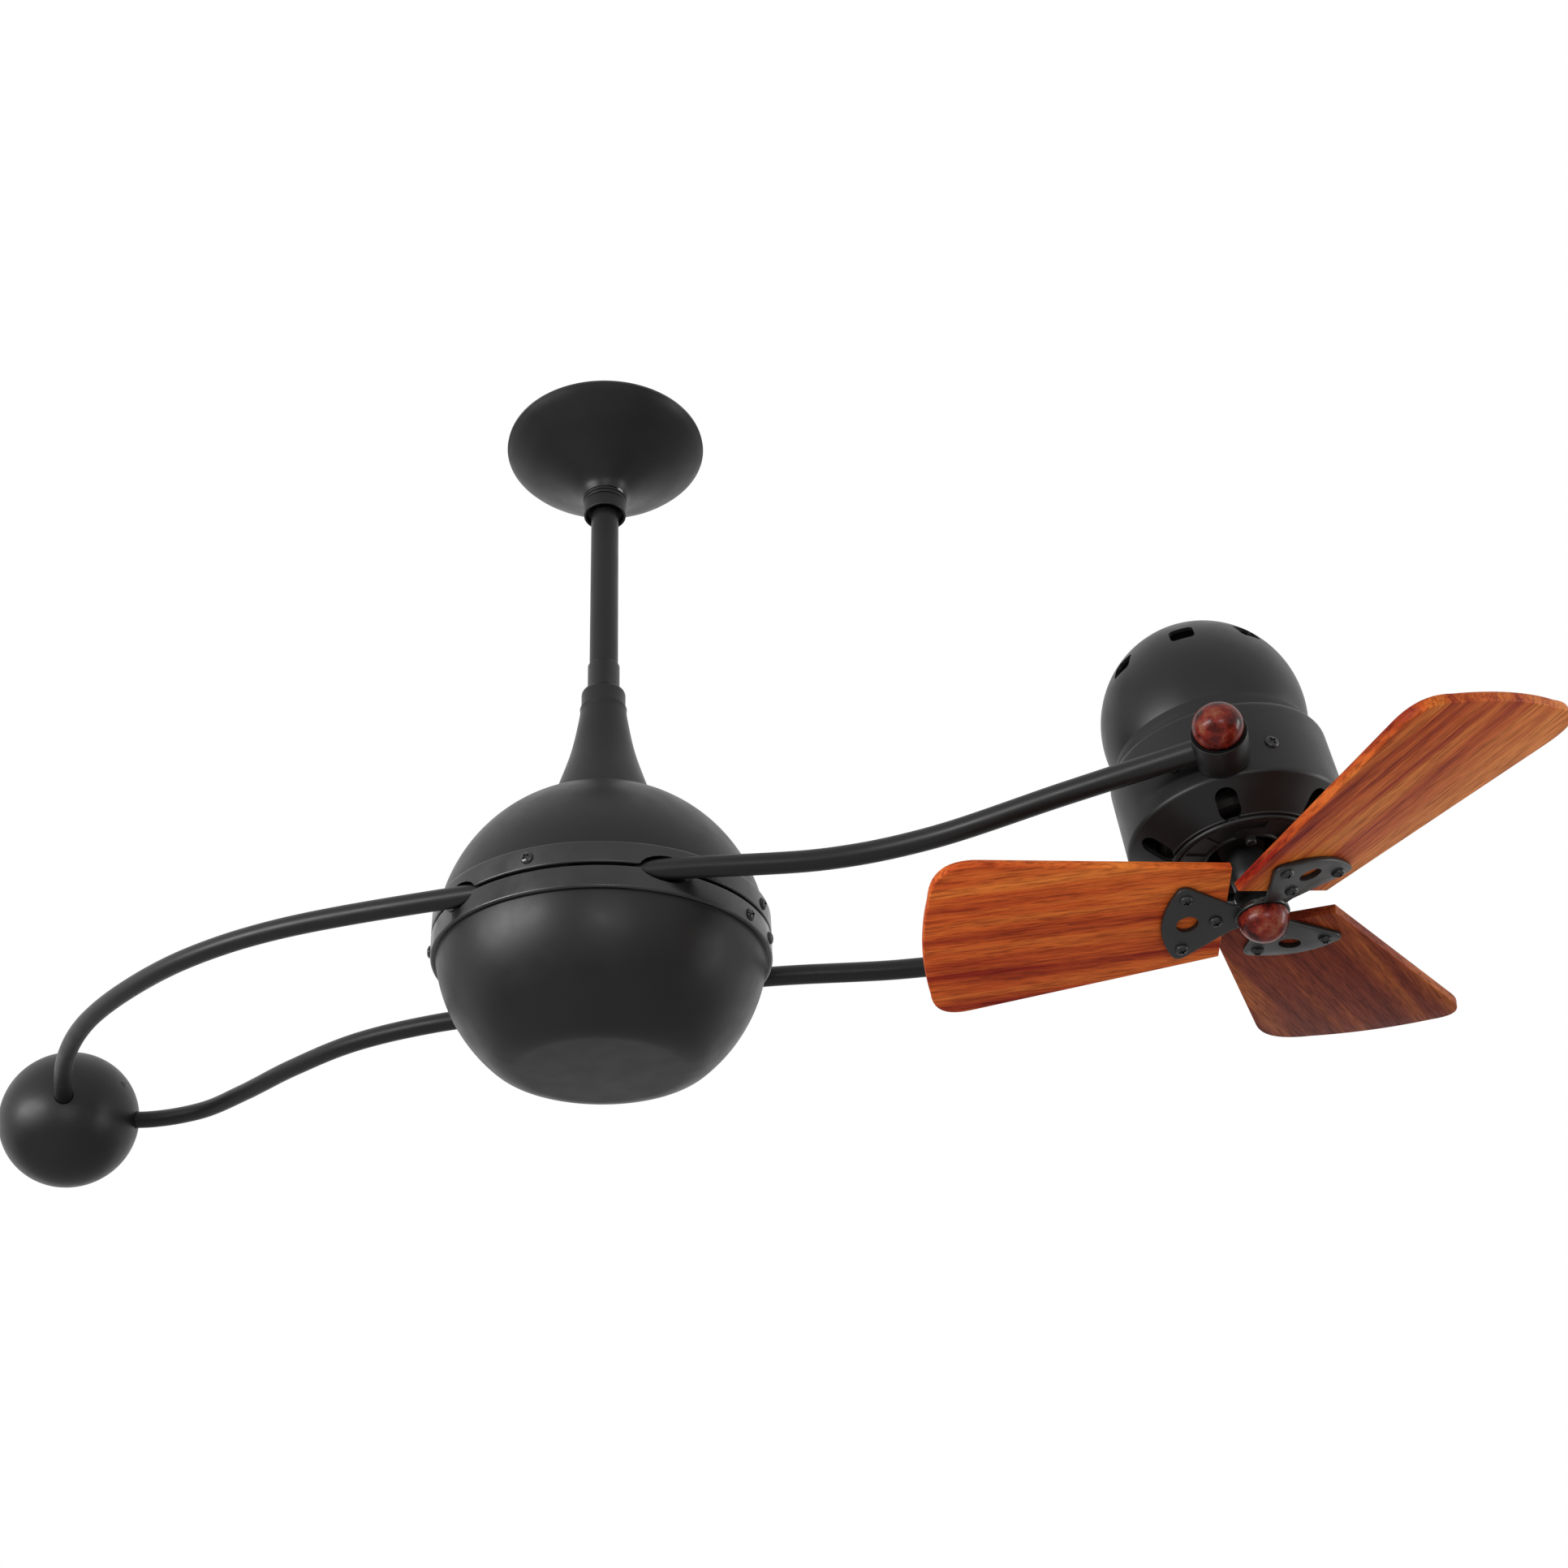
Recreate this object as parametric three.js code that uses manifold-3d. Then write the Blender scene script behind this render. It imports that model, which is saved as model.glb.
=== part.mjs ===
// Rotating ceiling fan: one tilting three-blade fan head and a counterweight ball at the two ends
// of a pair of S-bent tubes, which turn round a ball-shaped housing on a downrod.
// Millimetres, +Z up. The origin is the middle of the ceiling face of the hanger bracket,
// +X points along the arm to the fan head, -X to the counterweight ball.
import * as THREE from "three";
import { mergeVertices } from "three/addons/utils/BufferGeometryUtils.js";
import Module from "manifold-3d";

const wasm = await Module();
wasm.setup();

// ---------------------------------------------------------------- driving dimensions
const DROP = 440; // ceiling to the centre of the housing ball
const GAP = 0.3; // clearance between pieces that seat on each other
const RUNNING_GAP = 0.8; // clearance between pieces that turn past each other

// hanger
const PLATE_LENGTH = 108; // ceiling bracket, along X
const BRACKET_WIDTH = 34;
const BRACKET_STEEL = 2.5;
const STIRRUP_WIDTH = 52; // over the two legs
const STIRRUP_DEPTH = 31; // ceiling to the underside of the seat
const SEAT_RADIUS = 13.2; // round opening that the hanger ball sits in
const HANGER_BALL_RADIUS = 17;
const HANGER_PIN_RADIUS = 3;
const CANOPY_RADIUS = 78;
const CANOPY_LIP = 2.5; // upright lip at the ceiling
const CANOPY_NECK_RADIUS = 17;
const CANOPY_DEPTH = 50;
const CANOPY_WALL = 1.5;
const COLLAR_RADIUS = 16.4;
const COLLAR_HEIGHT = 12;
const COLLAR_RING_HEIGHT = 5; // the thin ring between canopy and collar

// downrod and neck
const ROD_RADIUS = 10.6;
const ROD_BORE = 8;
const NECK_TOP_RADIUS = 17.2; // the cone where its collar begins
const NECK_BASE_RADIUS = 37.6;
const NECK_COLLAR_RADIUS = 16.2;
const NECK_COLLAR_HEIGHT = 16;
const NECK_TOP = 191; // top of the cone above the ball's centre
const NECK_WALL = 2;
const YOKE_WALL = 1.2; // socket of the yoke, the wider part of the rod above the neck
const YOKE_TOP = 230;
const YOKE_BOTTOM = 120;
const ROD_END = 150; // lower end of the rod above the ball's centre
const COUPLING_PIN_RADIUS = 3;

// housing ball
const BALL_RADIUS = 113;
const BALL_FLAT = 110; // the underside is cut a little short of the full radius
const SHELL_WALL = 2;
const BAND_RADIUS = 115.5;
const BAND_WALL = 3;
const BAND_HEIGHT = 16.5; // edge of each band from the parting plane
const BAND_EDGE = 2; // rounding of both rims
const PARTING = 1; // half the groove between the two bands

// arms
const TUBE_RADIUS = 7;
const TUBE_HOLE_CLEARANCE = 2; // round each tube where it leaves the bands
const WEIGHT_REACH = 568; // counterweight centre to the downrod's axis
const WEIGHT_RADIUS = 57.3;
const WEIGHT_GRIP = 28; // length of tube held inside the counterweight
const TUBE_LEAD = 12; // straight length of tube outside the counterweight
const HEAD_REACH = 405.4; // pivot centre, along X
const HEAD_OFFSET = 77.7; // pivot centre, along Y
const HEAD_DROP = 3.6; // pivot centre below the plane of the tubes
const PIVOT_YAW = THREE.MathUtils.degToRad(15.9); // pivot axis against the Y axis
const PIVOT_LEAN = THREE.MathUtils.degToRad(4.6); // the front knuckle is the higher one
const HEAD_TILT = THREE.MathUtils.degToRad(5.2); // stored tilt of the motor axis

// running gear in the housing ball
const SPINDLE_RADIUS = 9;
const SPINDLE_BORE = 6;
const SPINDLE_END = -56;
const BEARING_RADIUS = 21;
const BEARING_HEIGHT = 12;
const RACE_SPLIT = 15; // where the inner ring of a bearing meets the outer one
const RACE_GAP = 0.9;
const LOWER_BEARING = -43; // underside of the lower bearing
const UPPER_BEARING = -7; // underside of the upper bearing
const HUB_RADIUS = 27;
const BEAM_TOP = -7.6;
const BEAM_HEIGHT = 8;
const BEAM_WIDTH = 42;
const SLIP_RING_RADIUS = 16;
const SLIP_RING_FLOOR = 14;
const SLIP_RING_HEIGHT = 28;
const NUT_ACROSS = 26;
const NUT_HEIGHT = 9;
const CLAMP_LENGTH = 24;
const CLAMP_WIDTH = 30;
const CLAMP_WALL = 4;

// pivots of the fan head, measured along the pivot axis from its middle
const DRUM_RADIUS = 62.8;
const KNUCKLE_RADIUS = 15.2;
const KNUCKLE_CLEARANCE = 0.4; // drum to the inner face of each knuckle
const KNUCKLE_LENGTH = 23.3;
const FRONT_TUBE_SEAT = 12.3; // inner face of the knuckle to the tube's axis
const REAR_TUBE_SEAT = 8;
const PIN_RADIUS = 5;
const PIN_ENTRY = 12.8; // length of pin inside a knuckle
const PIN_INSIDE = 10.8; // length of pin inside the drum
const FINIAL_RADIUS = 14.2;
const FINIAL_STANDOFF = 6.5; // middle of the ball beyond the outer face of the knuckle
const KNUCKLE_INNER = DRUM_RADIUS + KNUCKLE_CLEARANCE;
const KNUCKLE_OUTER = KNUCKLE_INNER + KNUCKLE_LENGTH;
const FRONT_TUBE_STATION = KNUCKLE_INNER + FRONT_TUBE_SEAT;
const REAR_TUBE_STATION = KNUCKLE_INNER + REAR_TUBE_SEAT;
const PIN_TIP = KNUCKLE_INNER + PIN_ENTRY;
const PIN_ROOT = DRUM_RADIUS - PIN_INSIDE;
const FINIAL_STATION = KNUCKLE_OUTER + FINIAL_STANDOFF;
const TUBE_STOP = 8.2; // end of the tube from the pivot axis

// fan head, measured along the motor axis from the pivot centre (+ towards the dome)
const DOME_RADIUS = 59.7;
const DOME_CENTRE = 69;
const DOME_RISE = 67.5;
const STEP_HEIGHT = 38; // dome meets drum
const DRUM_SHOULDER = 9;
const DRUM_FOOT = -15;
const RIM_RADIUS = 41.6;
const RIM_HEIGHT = -31;
const HEAD_WALL = 2.2;
const DOME_VENTS = 8;
const DOME_VENT_SIZE = 14;
const DOME_VENT_CORNER = 3;
const DOME_VENT_HEIGHT = 101;
const BASE_VENTS = 6;
const BASE_VENT_WIDTH = 12;
const BASE_VENT_LENGTH = 20;
const BASE_VENT_START = THREE.MathUtils.degToRad(-94);
const STATOR_RADIUS = 52;
const STATOR_HEIGHT = 34;
const STATOR_BORE = 31;
const COIL_HEIGHT = 12;
const ROTOR_RADIUS = 30;
const ROTOR_HEIGHT = 34;
const BEARING_PLATE_RADIUS = 38.6;
const BEARING_PLATE_BORE = 21;
const SHAFT_RADIUS = 5;
const SHAFT_TOP = 74;
const SLEEVE_RADIUS = 11.2;
const MOTOR_BEARING_RADIUS = 13;
const MOTOR_BEARING_HEIGHT = 9;

// blades
const HUB_TOP = -53;
const HUB_FOOT = -70;
const BLADE_HUB_RADIUS = 11.8;
const HUB_FLANGE_RADIUS = 15.3;
const HUB_FLANGE_THICKNESS = 4;
const HUB_FINIAL_RADIUS = 13.9;
const HUB_FINIAL_CENTRE = -71.8;
const BLADES = 3;
const BLADE_PHASE = THREE.MathUtils.degToRad(72.6);
const BLADE_PITCH = THREE.MathUtils.degToRad(12.6);
const BLADE_LEVEL = -62.6;
const BLADE_THICKNESS = 6;
const BLADE_ROOT = 20.5;
const BLADE_TIP = 189;
const BLADE_TIP_CROWN = 4; // how far the middle of the tip stands beyond its corners
const BLADE_ROOT_HALF = 35.5; // half width at the root
const BLADE_LEADING_HALF = 67.5; // width at the tip on the raised side of the middle line
const BLADE_TRAILING_HALF = 60.5; // width at the tip on the other side
const BLADE_CORNER = 20;
const IRON_THICKNESS = 3;
const IRON_NECK = 9.5; // half width at the hub
const IRON_SPREAD = 28.5; // half width at the outer screws
const IRON_SHOULDER = 47; // radius of the widest place
const IRON_REACH = 57.5;
const IRON_OFFSET = -2; // middle line of the iron beside the blade axis
const IRON_HOLE_RADIUS = 6.2;
const IRON_HOLE_STATION = 41.5;

// facets round a full circle
const ROUND_LARGE = 24;
const ROUND_MEDIUM = 16;
const ROUND_SMALL = 12;
const TUBE_SIDES = 8;

// ---------------------------------------------------------------- finishes
const finish = {
  powderCoat: () => new THREE.MeshStandardMaterial({ color: 0x2b2b2b, roughness: 0.45, metalness: 0.4 }),
  blackSteel: () => new THREE.MeshStandardMaterial({ color: 0x1f1f20, roughness: 0.4, metalness: 0.5 }),
  zincSteel: () => new THREE.MeshStandardMaterial({ color: 0x9a9c9e, roughness: 0.4, metalness: 0.9 }),
  brightSteel: () => new THREE.MeshStandardMaterial({ color: 0xb4b6b8, roughness: 0.25, metalness: 1.0 }),
  castMetal: () => new THREE.MeshStandardMaterial({ color: 0x707274, roughness: 0.6, metalness: 0.8 }),
  resin: () => new THREE.MeshStandardMaterial({ color: 0x26282a, roughness: 0.55, metalness: 0.0 }),
  brass: () => new THREE.MeshStandardMaterial({ color: 0xb08d4a, roughness: 0.35, metalness: 1.0 }),
  copper: () => new THREE.MeshStandardMaterial({ color: 0x9c5a32, roughness: 0.45, metalness: 0.8 }),
  mahogany: () => new THREE.MeshStandardMaterial({ color: 0xa6481c, roughness: 0.5, metalness: 0.0 }),
  polishedBurl: () => new THREE.MeshStandardMaterial({ color: 0x6e2418, roughness: 0.15, metalness: 0.0 }),
};

// ---------------------------------------------------------------- solids
/** A closed three.js geometry as a solid, with its shared vertices merged. */
function solid(geometry, matrix = new THREE.Matrix4()) {
  const bare = (geometry.index ? geometry.toNonIndexed() : geometry.clone()).applyMatrix4(matrix);
  for (const name of Object.keys(bare.attributes)) {
    if (name !== "position") {
      bare.deleteAttribute(name);
    }
  }
  const merged = mergeVertices(bare, 1e-4);
  const corners = merged.index.array;
  const faces = [];
  for (let i = 0; i < corners.length; i += 3) {
    const [a, b, c] = [corners[i], corners[i + 1], corners[i + 2]];
    if (a !== b && b !== c && c !== a) {
      faces.push(a, b, c);
    }
  }
  const build = (triVerts) =>
    new wasm.Manifold(
      new wasm.Mesh({ numProp: 3, vertProperties: merged.attributes.position.array, triVerts })
    );
  const made = build(new Uint32Array(faces));
  return made.volume() < 0 ? build(new Uint32Array(faces).reverse()) : made;
}

/** A finished solid as a named mesh. */
function piece(name, body, material) {
  const data = body.getMesh();
  const position = new Float32Array(data.numVert * 3);
  for (let i = 0; i < data.numVert; i++) {
    position.set(data.vertProperties.subarray(i * data.numProp, i * data.numProp + 3), i * 3);
  }
  const geometry = new THREE.BufferGeometry();
  geometry.setAttribute("position", new THREE.BufferAttribute(position, 3));
  geometry.setIndex(new THREE.BufferAttribute(new Uint32Array(data.triVerts), 1));
  const flat = geometry.toNonIndexed();
  flat.computeVertexNormals();
  const mesh = new THREE.Mesh(flat, material());
  mesh.name = name;
  return mesh;
}

const move = (x, y, z) => new THREE.Matrix4().makeTranslation(x, y, z);
const turnZ = (angle) => new THREE.Matrix4().makeRotationZ(angle);
const QUARTER = Math.PI / 2;

/** A turned piece: a profile of [radius, height] points revolved round Z. */
function turned(profile, sides = ROUND_MEDIUM) {
  const closed = profile[0][0] === 0 && profile[profile.length - 1][0] === 0;
  const loop = closed ? profile : [...profile, profile[0]];
  const points = loop.map(([r, z]) => new THREE.Vector2(r, z));
  return solid(new THREE.LatheGeometry(points, sides).rotateX(QUARTER));
}

/** Points of an arc in a profile, angles in degrees from the +radius direction. */
function arc(cr, cz, rx, rz, from, to, steps) {
  return Array.from({ length: steps + 1 }, (_, i) => {
    const a = THREE.MathUtils.degToRad(from + ((to - from) * i) / steps);
    return [Math.max(0, cr + rx * Math.cos(a)), cz + rz * Math.sin(a)];
  });
}

/** A straight round bar or bore along Z, between two heights. */
function bar(radius, low, high, sides = ROUND_SMALL) {
  const turn = new THREE.CylinderGeometry(radius, radius, high - low, sides).rotateX(QUARTER);
  return solid(turn, move(0, 0, (low + high) / 2));
}

/** A ring along Z, between two heights. */
function ring(inner, outer, low, high, sides = ROUND_MEDIUM) {
  return turned([[inner, low], [outer, low], [outer, high], [inner, high]], sides);
}

function block(x, y, z, matrix) {
  return solid(new THREE.BoxGeometry(x, y, z), matrix);
}

/** A flat outline extruded upwards from z = 0. */
function plate(shape, thickness, curveSegments = 8) {
  return solid(new THREE.ExtrudeGeometry(shape, { depth: thickness, bevelEnabled: false, curveSegments }));
}

/** A round section swept along a curve in the XY plane. */
function swept(curve, radius, steps, sides = TUBE_SIDES) {
  const section = new THREE.Shape();
  for (let i = 0; i < sides; i++) {
    const a = (i * 2 * Math.PI) / sides;
    section[i ? "lineTo" : "moveTo"](radius * Math.cos(a), radius * Math.sin(a));
  }
  section.closePath();
  const sweep = { steps, extrudePath: curve, bevelEnabled: false };
  return solid(new THREE.ExtrudeGeometry(section, sweep));
}

/** What a tube needs cut for it: its own sweep, wider all round and longer at both ends. */
function tubeBore(path, clearance) {
  const bore = swept(path, TUBE_RADIUS + clearance, TUBE_STEPS);
  return [0, 1].reduce((cut, end) => {
    const tip = path.getPointAt(end);
    const outward = path.getTangentAt(end).multiplyScalar((end ? 1 : -1) * clearance);
    const relief = new THREE.LineCurve3(tip, tip.clone().add(outward));
    return cut.add(swept(relief, TUBE_RADIUS + clearance, 1));
  }, bore);
}

// ---------------------------------------------------------------- the paths of the two tubes
const flat = (x, y) => new THREE.Vector3(x, y, 0);
const pivotCentre = new THREE.Vector3(HEAD_REACH, HEAD_OFFSET, -HEAD_DROP);
const headTurn = new THREE.Euler(-PIVOT_LEAN, -HEAD_TILT, PIVOT_YAW, "ZYX");
const frontward = new THREE.Vector3(0, -1, 0).applyEuler(headTurn);
const onPivot = (station) => pivotCentre.clone().addScaledVector(frontward, station);

/** Point inside the counterweight where a tube that enters at this bearing ends. */
function weightEnd(bearing) {
  const reach = WEIGHT_RADIUS - WEIGHT_GRIP;
  return flat(-WEIGHT_REACH + reach * Math.cos(bearing), reach * Math.sin(bearing));
}
function weightMouth(bearing) {
  const reach = WEIGHT_RADIUS + TUBE_LEAD;
  return flat(-WEIGHT_REACH + reach * Math.cos(bearing), reach * Math.sin(bearing));
}
const FRONT_BEARING = THREE.MathUtils.degToRad(-42);
const REAR_BEARING = THREE.MathUtils.degToRad(36);

// Bends of the front tube, from the counterweight past the front of the downrod to the head.
const frontEnd = onPivot(FRONT_TUBE_STATION);
const frontPath = new THREE.CatmullRomCurve3([
  weightEnd(FRONT_BEARING),
  weightMouth(FRONT_BEARING),
  flat(-453, -92),
  flat(-388, -124),
  flat(-315, -144),
  flat(-240, -153),
  flat(-160, -147),
  flat(-34, -111),
  flat(91, -64),
  flat(186, -13),
  flat(246, 1),
  new THREE.Vector3(frontEnd.x - 90, frontEnd.y - 2.5, frontEnd.z / 2),
  new THREE.Vector3(frontEnd.x - TUBE_STOP, frontEnd.y, frontEnd.z),
], false, "centripetal");

// Bends of the rear tube, from the counterweight past the back of the downrod to the head.
const rearEnd = onPivot(-REAR_TUBE_STATION);
const rearPath = new THREE.CatmullRomCurve3([
  weightEnd(REAR_BEARING),
  weightMouth(REAR_BEARING),
  flat(-462, 52),
  flat(-403, 45),
  flat(-331, 31),
  flat(-252, 23),
  flat(-178, 33),
  flat(-97, 61),
  flat(50, 104),
  flat(150, 157),
  new THREE.Vector3(222, 177, rearEnd.z * 0.2),
  new THREE.Vector3(280, 165, rearEnd.z * 0.5),
  new THREE.Vector3(rearEnd.x - 58, rearEnd.y + 3, rearEnd.z * 0.85),
  new THREE.Vector3(rearEnd.x - TUBE_STOP, rearEnd.y, rearEnd.z),
], false, "centripetal");
const TUBE_STEPS = 32;

// ---------------------------------------------------------------- hanger and downrod
const seatTop = -STIRRUP_DEPTH + BRACKET_STEEL;
const hangerBallCentre =
  seatTop + GAP + Math.sqrt(HANGER_BALL_RADIUS ** 2 - SEAT_RADIUS ** 2);

function ceilingBracket() {
  const half = PLATE_LENGTH / 2;
  const leg = STIRRUP_WIDTH / 2;
  const t = BRACKET_STEEL;
  const outline = new THREE.Shape();
  outline.moveTo(-half, 0);
  outline.lineTo(-half, -t);
  outline.lineTo(-leg, -t);
  outline.lineTo(-leg, -STIRRUP_DEPTH);
  outline.lineTo(leg, -STIRRUP_DEPTH);
  outline.lineTo(leg, -t);
  outline.lineTo(half, -t);
  outline.lineTo(half, 0);
  outline.closePath();
  const window = new THREE.Path();
  window.moveTo(-leg + t, -t);
  window.lineTo(-leg + t, seatTop);
  window.lineTo(leg - t, seatTop);
  window.lineTo(leg - t, -t);
  window.closePath();
  outline.holes.push(window);
  const frame = solid(
    new THREE.ExtrudeGeometry(outline, { depth: BRACKET_WIDTH, bevelEnabled: false })
      .translate(0, 0, -BRACKET_WIDTH / 2)
      .rotateX(QUARTER)
  );
  const slotX = (half + leg) / 2;
  const slots = [-1, 1].map((side) => block(9, 22, 3 * t, move(side * slotX, 0, -t / 2)));
  const wireHole = bar(5, -2 * t, t).translate([leg - t - 9, 0, 0]);
  const seat = bar(SEAT_RADIUS, -STIRRUP_DEPTH - t, seatTop + t, ROUND_MEDIUM);
  const mouth = block(
    2 * (ROD_RADIUS + 1.5), BRACKET_WIDTH, 3 * t, move(0, BRACKET_WIDTH / 2, seatTop - t / 2)
  );
  return [...slots, wireHole, seat, mouth].reduce((body, cut) => body.subtract(cut), frame);
}

function hangerBall() {
  const r = HANGER_BALL_RADIUS;
  const bore = ROD_RADIUS + GAP;
  const foot = THREE.MathUtils.radToDeg(-Math.acos(bore / r));
  const body = turned([
    [bore, hangerBallCentre + 5],
    ...arc(0, hangerBallCentre, r, r, 15, foot, 4),
  ]);
  return body.subtract(pinBore(HANGER_PIN_RADIUS + GAP, 2 * r, hangerBallCentre));
}

/** A bar along X at a height, for cross pins and the holes that they pass through. */
function pinBore(radius, length, height) {
  const cylinder = new THREE.CylinderGeometry(radius, radius, length, 8).rotateZ(QUARTER);
  return solid(cylinder, move(0, 0, height));
}

function downrod() {
  const top = hangerBallCentre + 8;
  const tube = ring(ROD_BORE, ROD_RADIUS, -DROP + ROD_END, top, ROUND_MEDIUM);
  return tube
    .subtract(pinBore(HANGER_PIN_RADIUS + GAP, 4 * ROD_RADIUS, hangerBallCentre))
    .subtract(pinBore(COUPLING_PIN_RADIUS + GAP, 4 * ROD_RADIUS, -DROP + ROD_END + 12));
}

const canopyFoot = -CANOPY_DEPTH;
function canopy() {
  // spun dish: low lip at the ceiling, cone-like flank, and a flared neck over the collar
  const rise = CANOPY_DEPTH - CANOPY_LIP;
  const flank = (reach, drop) => [
    CANOPY_NECK_RADIUS + (CANOPY_RADIUS - CANOPY_NECK_RADIUS) * reach, -CANOPY_LIP - rise * drop,
  ];
  const outside = [
    [CANOPY_RADIUS, -GAP],
    [CANOPY_RADIUS, -CANOPY_LIP],
    flank(0.91, 0.12),
    flank(0.72, 0.3),
    flank(0.46, 0.5),
    flank(0.22, 0.7),
    flank(0.06, 0.87),
    [CANOPY_NECK_RADIUS, canopyFoot],
  ];
  const inside = [
    [CANOPY_NECK_RADIUS - CANOPY_WALL, canopyFoot],
    ...[flank(0.22, 0.7), flank(0.46, 0.5), flank(0.72, 0.3), flank(0.91, 0.12)].map(
      ([r, z]) => [r - CANOPY_WALL * 0.7, z + CANOPY_WALL * 0.9]
    ),
    [CANOPY_RADIUS - CANOPY_WALL, -GAP],
  ];
  return turned([...outside, ...inside], ROUND_LARGE);
}

function canopyRing() {
  const top = canopyFoot - GAP;
  return ring(ROD_RADIUS + 1, COLLAR_RADIUS + 0.8, top - COLLAR_RING_HEIGHT, top);
}

function canopyCollar() {
  const top = canopyFoot - GAP - COLLAR_RING_HEIGHT - GAP;
  const foot = top - COLLAR_HEIGHT;
  const inner = ROD_RADIUS + GAP;
  return turned([
    [inner, top],
    [inner, foot + 7],
    [COLLAR_RADIUS - 2, foot + 6],
    [COLLAR_RADIUS - 2, foot],
    [COLLAR_RADIUS, foot],
    [COLLAR_RADIUS + 0.4, top - 1],
    [COLLAR_RADIUS, top],
  ]);
}

// ---------------------------------------------------------------- neck, yoke and spindle
const ballTopAt = (radius) => Math.sqrt(BALL_RADIUS ** 2 - radius ** 2);

function neckCone() {
  const foot = ballTopAt(NECK_BASE_RADIUS) + GAP;
  const outside = [
    [NECK_BASE_RADIUS, foot],
    [NECK_BASE_RADIUS - 2.6, foot + 8],
    [NECK_TOP_RADIUS + 6.5, foot + 44],
    [NECK_TOP_RADIUS + 0.4, NECK_TOP - 8],
    [NECK_TOP_RADIUS, NECK_TOP],
  ];
  const inside = [outside[4], outside[2], outside[0]].map(([r, z]) => [r - NECK_WALL, z]);
  return turned([...outside, ...inside], ROUND_LARGE);
}

function neckCollar() {
  const foot = NECK_TOP + GAP;
  const top = NECK_TOP + NECK_COLLAR_HEIGHT;
  const r = NECK_COLLAR_RADIUS;
  const mouth = ROD_RADIUS + YOKE_WALL + RUNNING_GAP;
  return turned([
    [mouth, foot],
    [r, foot],
    ...arc(r - 4, top - 4, 4, 4, 0, 90, 2),
    [mouth, top],
  ]);
}

function couplingYoke() {
  // socket for the rod above a stepped boss that the spindle screws into
  const wall = ROD_RADIUS + YOKE_WALL;
  const body = turned([
    [ROD_RADIUS + GAP, YOKE_TOP],
    [ROD_RADIUS + GAP, ROD_END - GAP],
    [SPINDLE_RADIUS + GAP, ROD_END - GAP],
    [SPINDLE_RADIUS + GAP, YOKE_BOTTOM],
    [wall + 2.5, YOKE_BOTTOM],
    [wall + 2.5, ROD_END + 26],
    [wall, ROD_END + 30],
    [wall, YOKE_TOP],
  ]);
  return body.subtract(pinBore(COUPLING_PIN_RADIUS + GAP, 4 * wall, ROD_END + 12));
}

function spindle() {
  const body = turned([
    [SPINDLE_BORE, SPINDLE_END],
    [SPINDLE_RADIUS, SPINDLE_END],
    [SPINDLE_RADIUS, UPPER_BEARING + BEARING_HEIGHT + GAP],
    [SPINDLE_RADIUS + 3.5, UPPER_BEARING + BEARING_HEIGHT + GAP],
    [SPINDLE_RADIUS + 3.5, SLIP_RING_FLOOR - GAP],
    [SPINDLE_RADIUS, SLIP_RING_FLOOR - GAP],
    [SPINDLE_RADIUS, ROD_END - 4],
    [SPINDLE_BORE, ROD_END - 4],
  ], ROUND_SMALL);
  return body;
}

function bearingRing(inner, outer, floor) {
  return ring(inner, outer, floor, floor + BEARING_HEIGHT);
}

function spindleNut() {
  const top = LOWER_BEARING - GAP;
  const across = NUT_ACROSS / Math.sqrt(3);
  const bore = bar(SPINDLE_RADIUS + GAP, top - 2 * NUT_HEIGHT, top + 1);
  return bar(across, top - NUT_HEIGHT, top, 6).subtract(bore);
}

function slipRing() {
  // three brass tracks between insulating ribs
  const inner = SPINDLE_RADIUS + GAP;
  const tracks = 3;
  const pitch = SLIP_RING_HEIGHT / tracks;
  const profile = [[inner, SLIP_RING_FLOOR]];
  for (let i = 0; i < tracks; i++) {
    const z = SLIP_RING_FLOOR + i * pitch;
    profile.push([SLIP_RING_RADIUS, z], [SLIP_RING_RADIUS, z + 2], [SLIP_RING_RADIUS - 2, z + 2]);
    profile.push([SLIP_RING_RADIUS - 2, z + pitch]);
  }
  const top = SLIP_RING_FLOOR + SLIP_RING_HEIGHT;
  profile.push([SLIP_RING_RADIUS, top], [SLIP_RING_RADIUS, top + 2], [inner, top + 2]);
  return turned(profile, ROUND_SMALL);
}

// ---------------------------------------------------------------- housing ball
const SKIRT_RADIUS = BAND_RADIUS - BAND_WALL - GAP;
/** One half of the ball as a thin shell, with the upright skirt that its band is fixed to. */
function ballShell(height, lid, side) {
  const edge = BAND_HEIGHT + GAP;
  const angle = (z) => THREE.MathUtils.radToDeg(Math.asin(z / BALL_RADIUS));
  const hollow = BALL_RADIUS - SHELL_WALL;
  const profile = [
    [SKIRT_RADIUS, PARTING],
    [SKIRT_RADIUS, edge - GAP],
    ...arc(0, 0, BALL_RADIUS, BALL_RADIUS, angle(edge), angle(height), 6),
    ...lid,
    ...arc(0, 0, hollow, hollow, angle(height), angle(edge + 3), 3),
    [SKIRT_RADIUS - SHELL_WALL, edge - GAP],
    [SKIRT_RADIUS - SHELL_WALL, PARTING],
  ];
  return turned(profile.map(([r, z]) => [r, side * z]), ROUND_LARGE);
}

const neckHole = NECK_BASE_RADIUS - 8; // opening in the crown under the neck
const tubeHoles = [frontPath, rearPath].map((path) => tubeBore(path, TUBE_HOLE_CLEARANCE));
const withTubeHoles = (body) => tubeHoles.reduce((rest, hole) => rest.subtract(hole), body);

const upperShell = () => withTubeHoles(ballShell(ballTopAt(neckHole), [], 1));
const lowerShell = () => {
  const closedFoot = [[0, BALL_FLAT], [0, BALL_FLAT - SHELL_WALL]];
  return withTubeHoles(ballShell(BALL_FLAT, closedFoot, -1));
};

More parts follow.
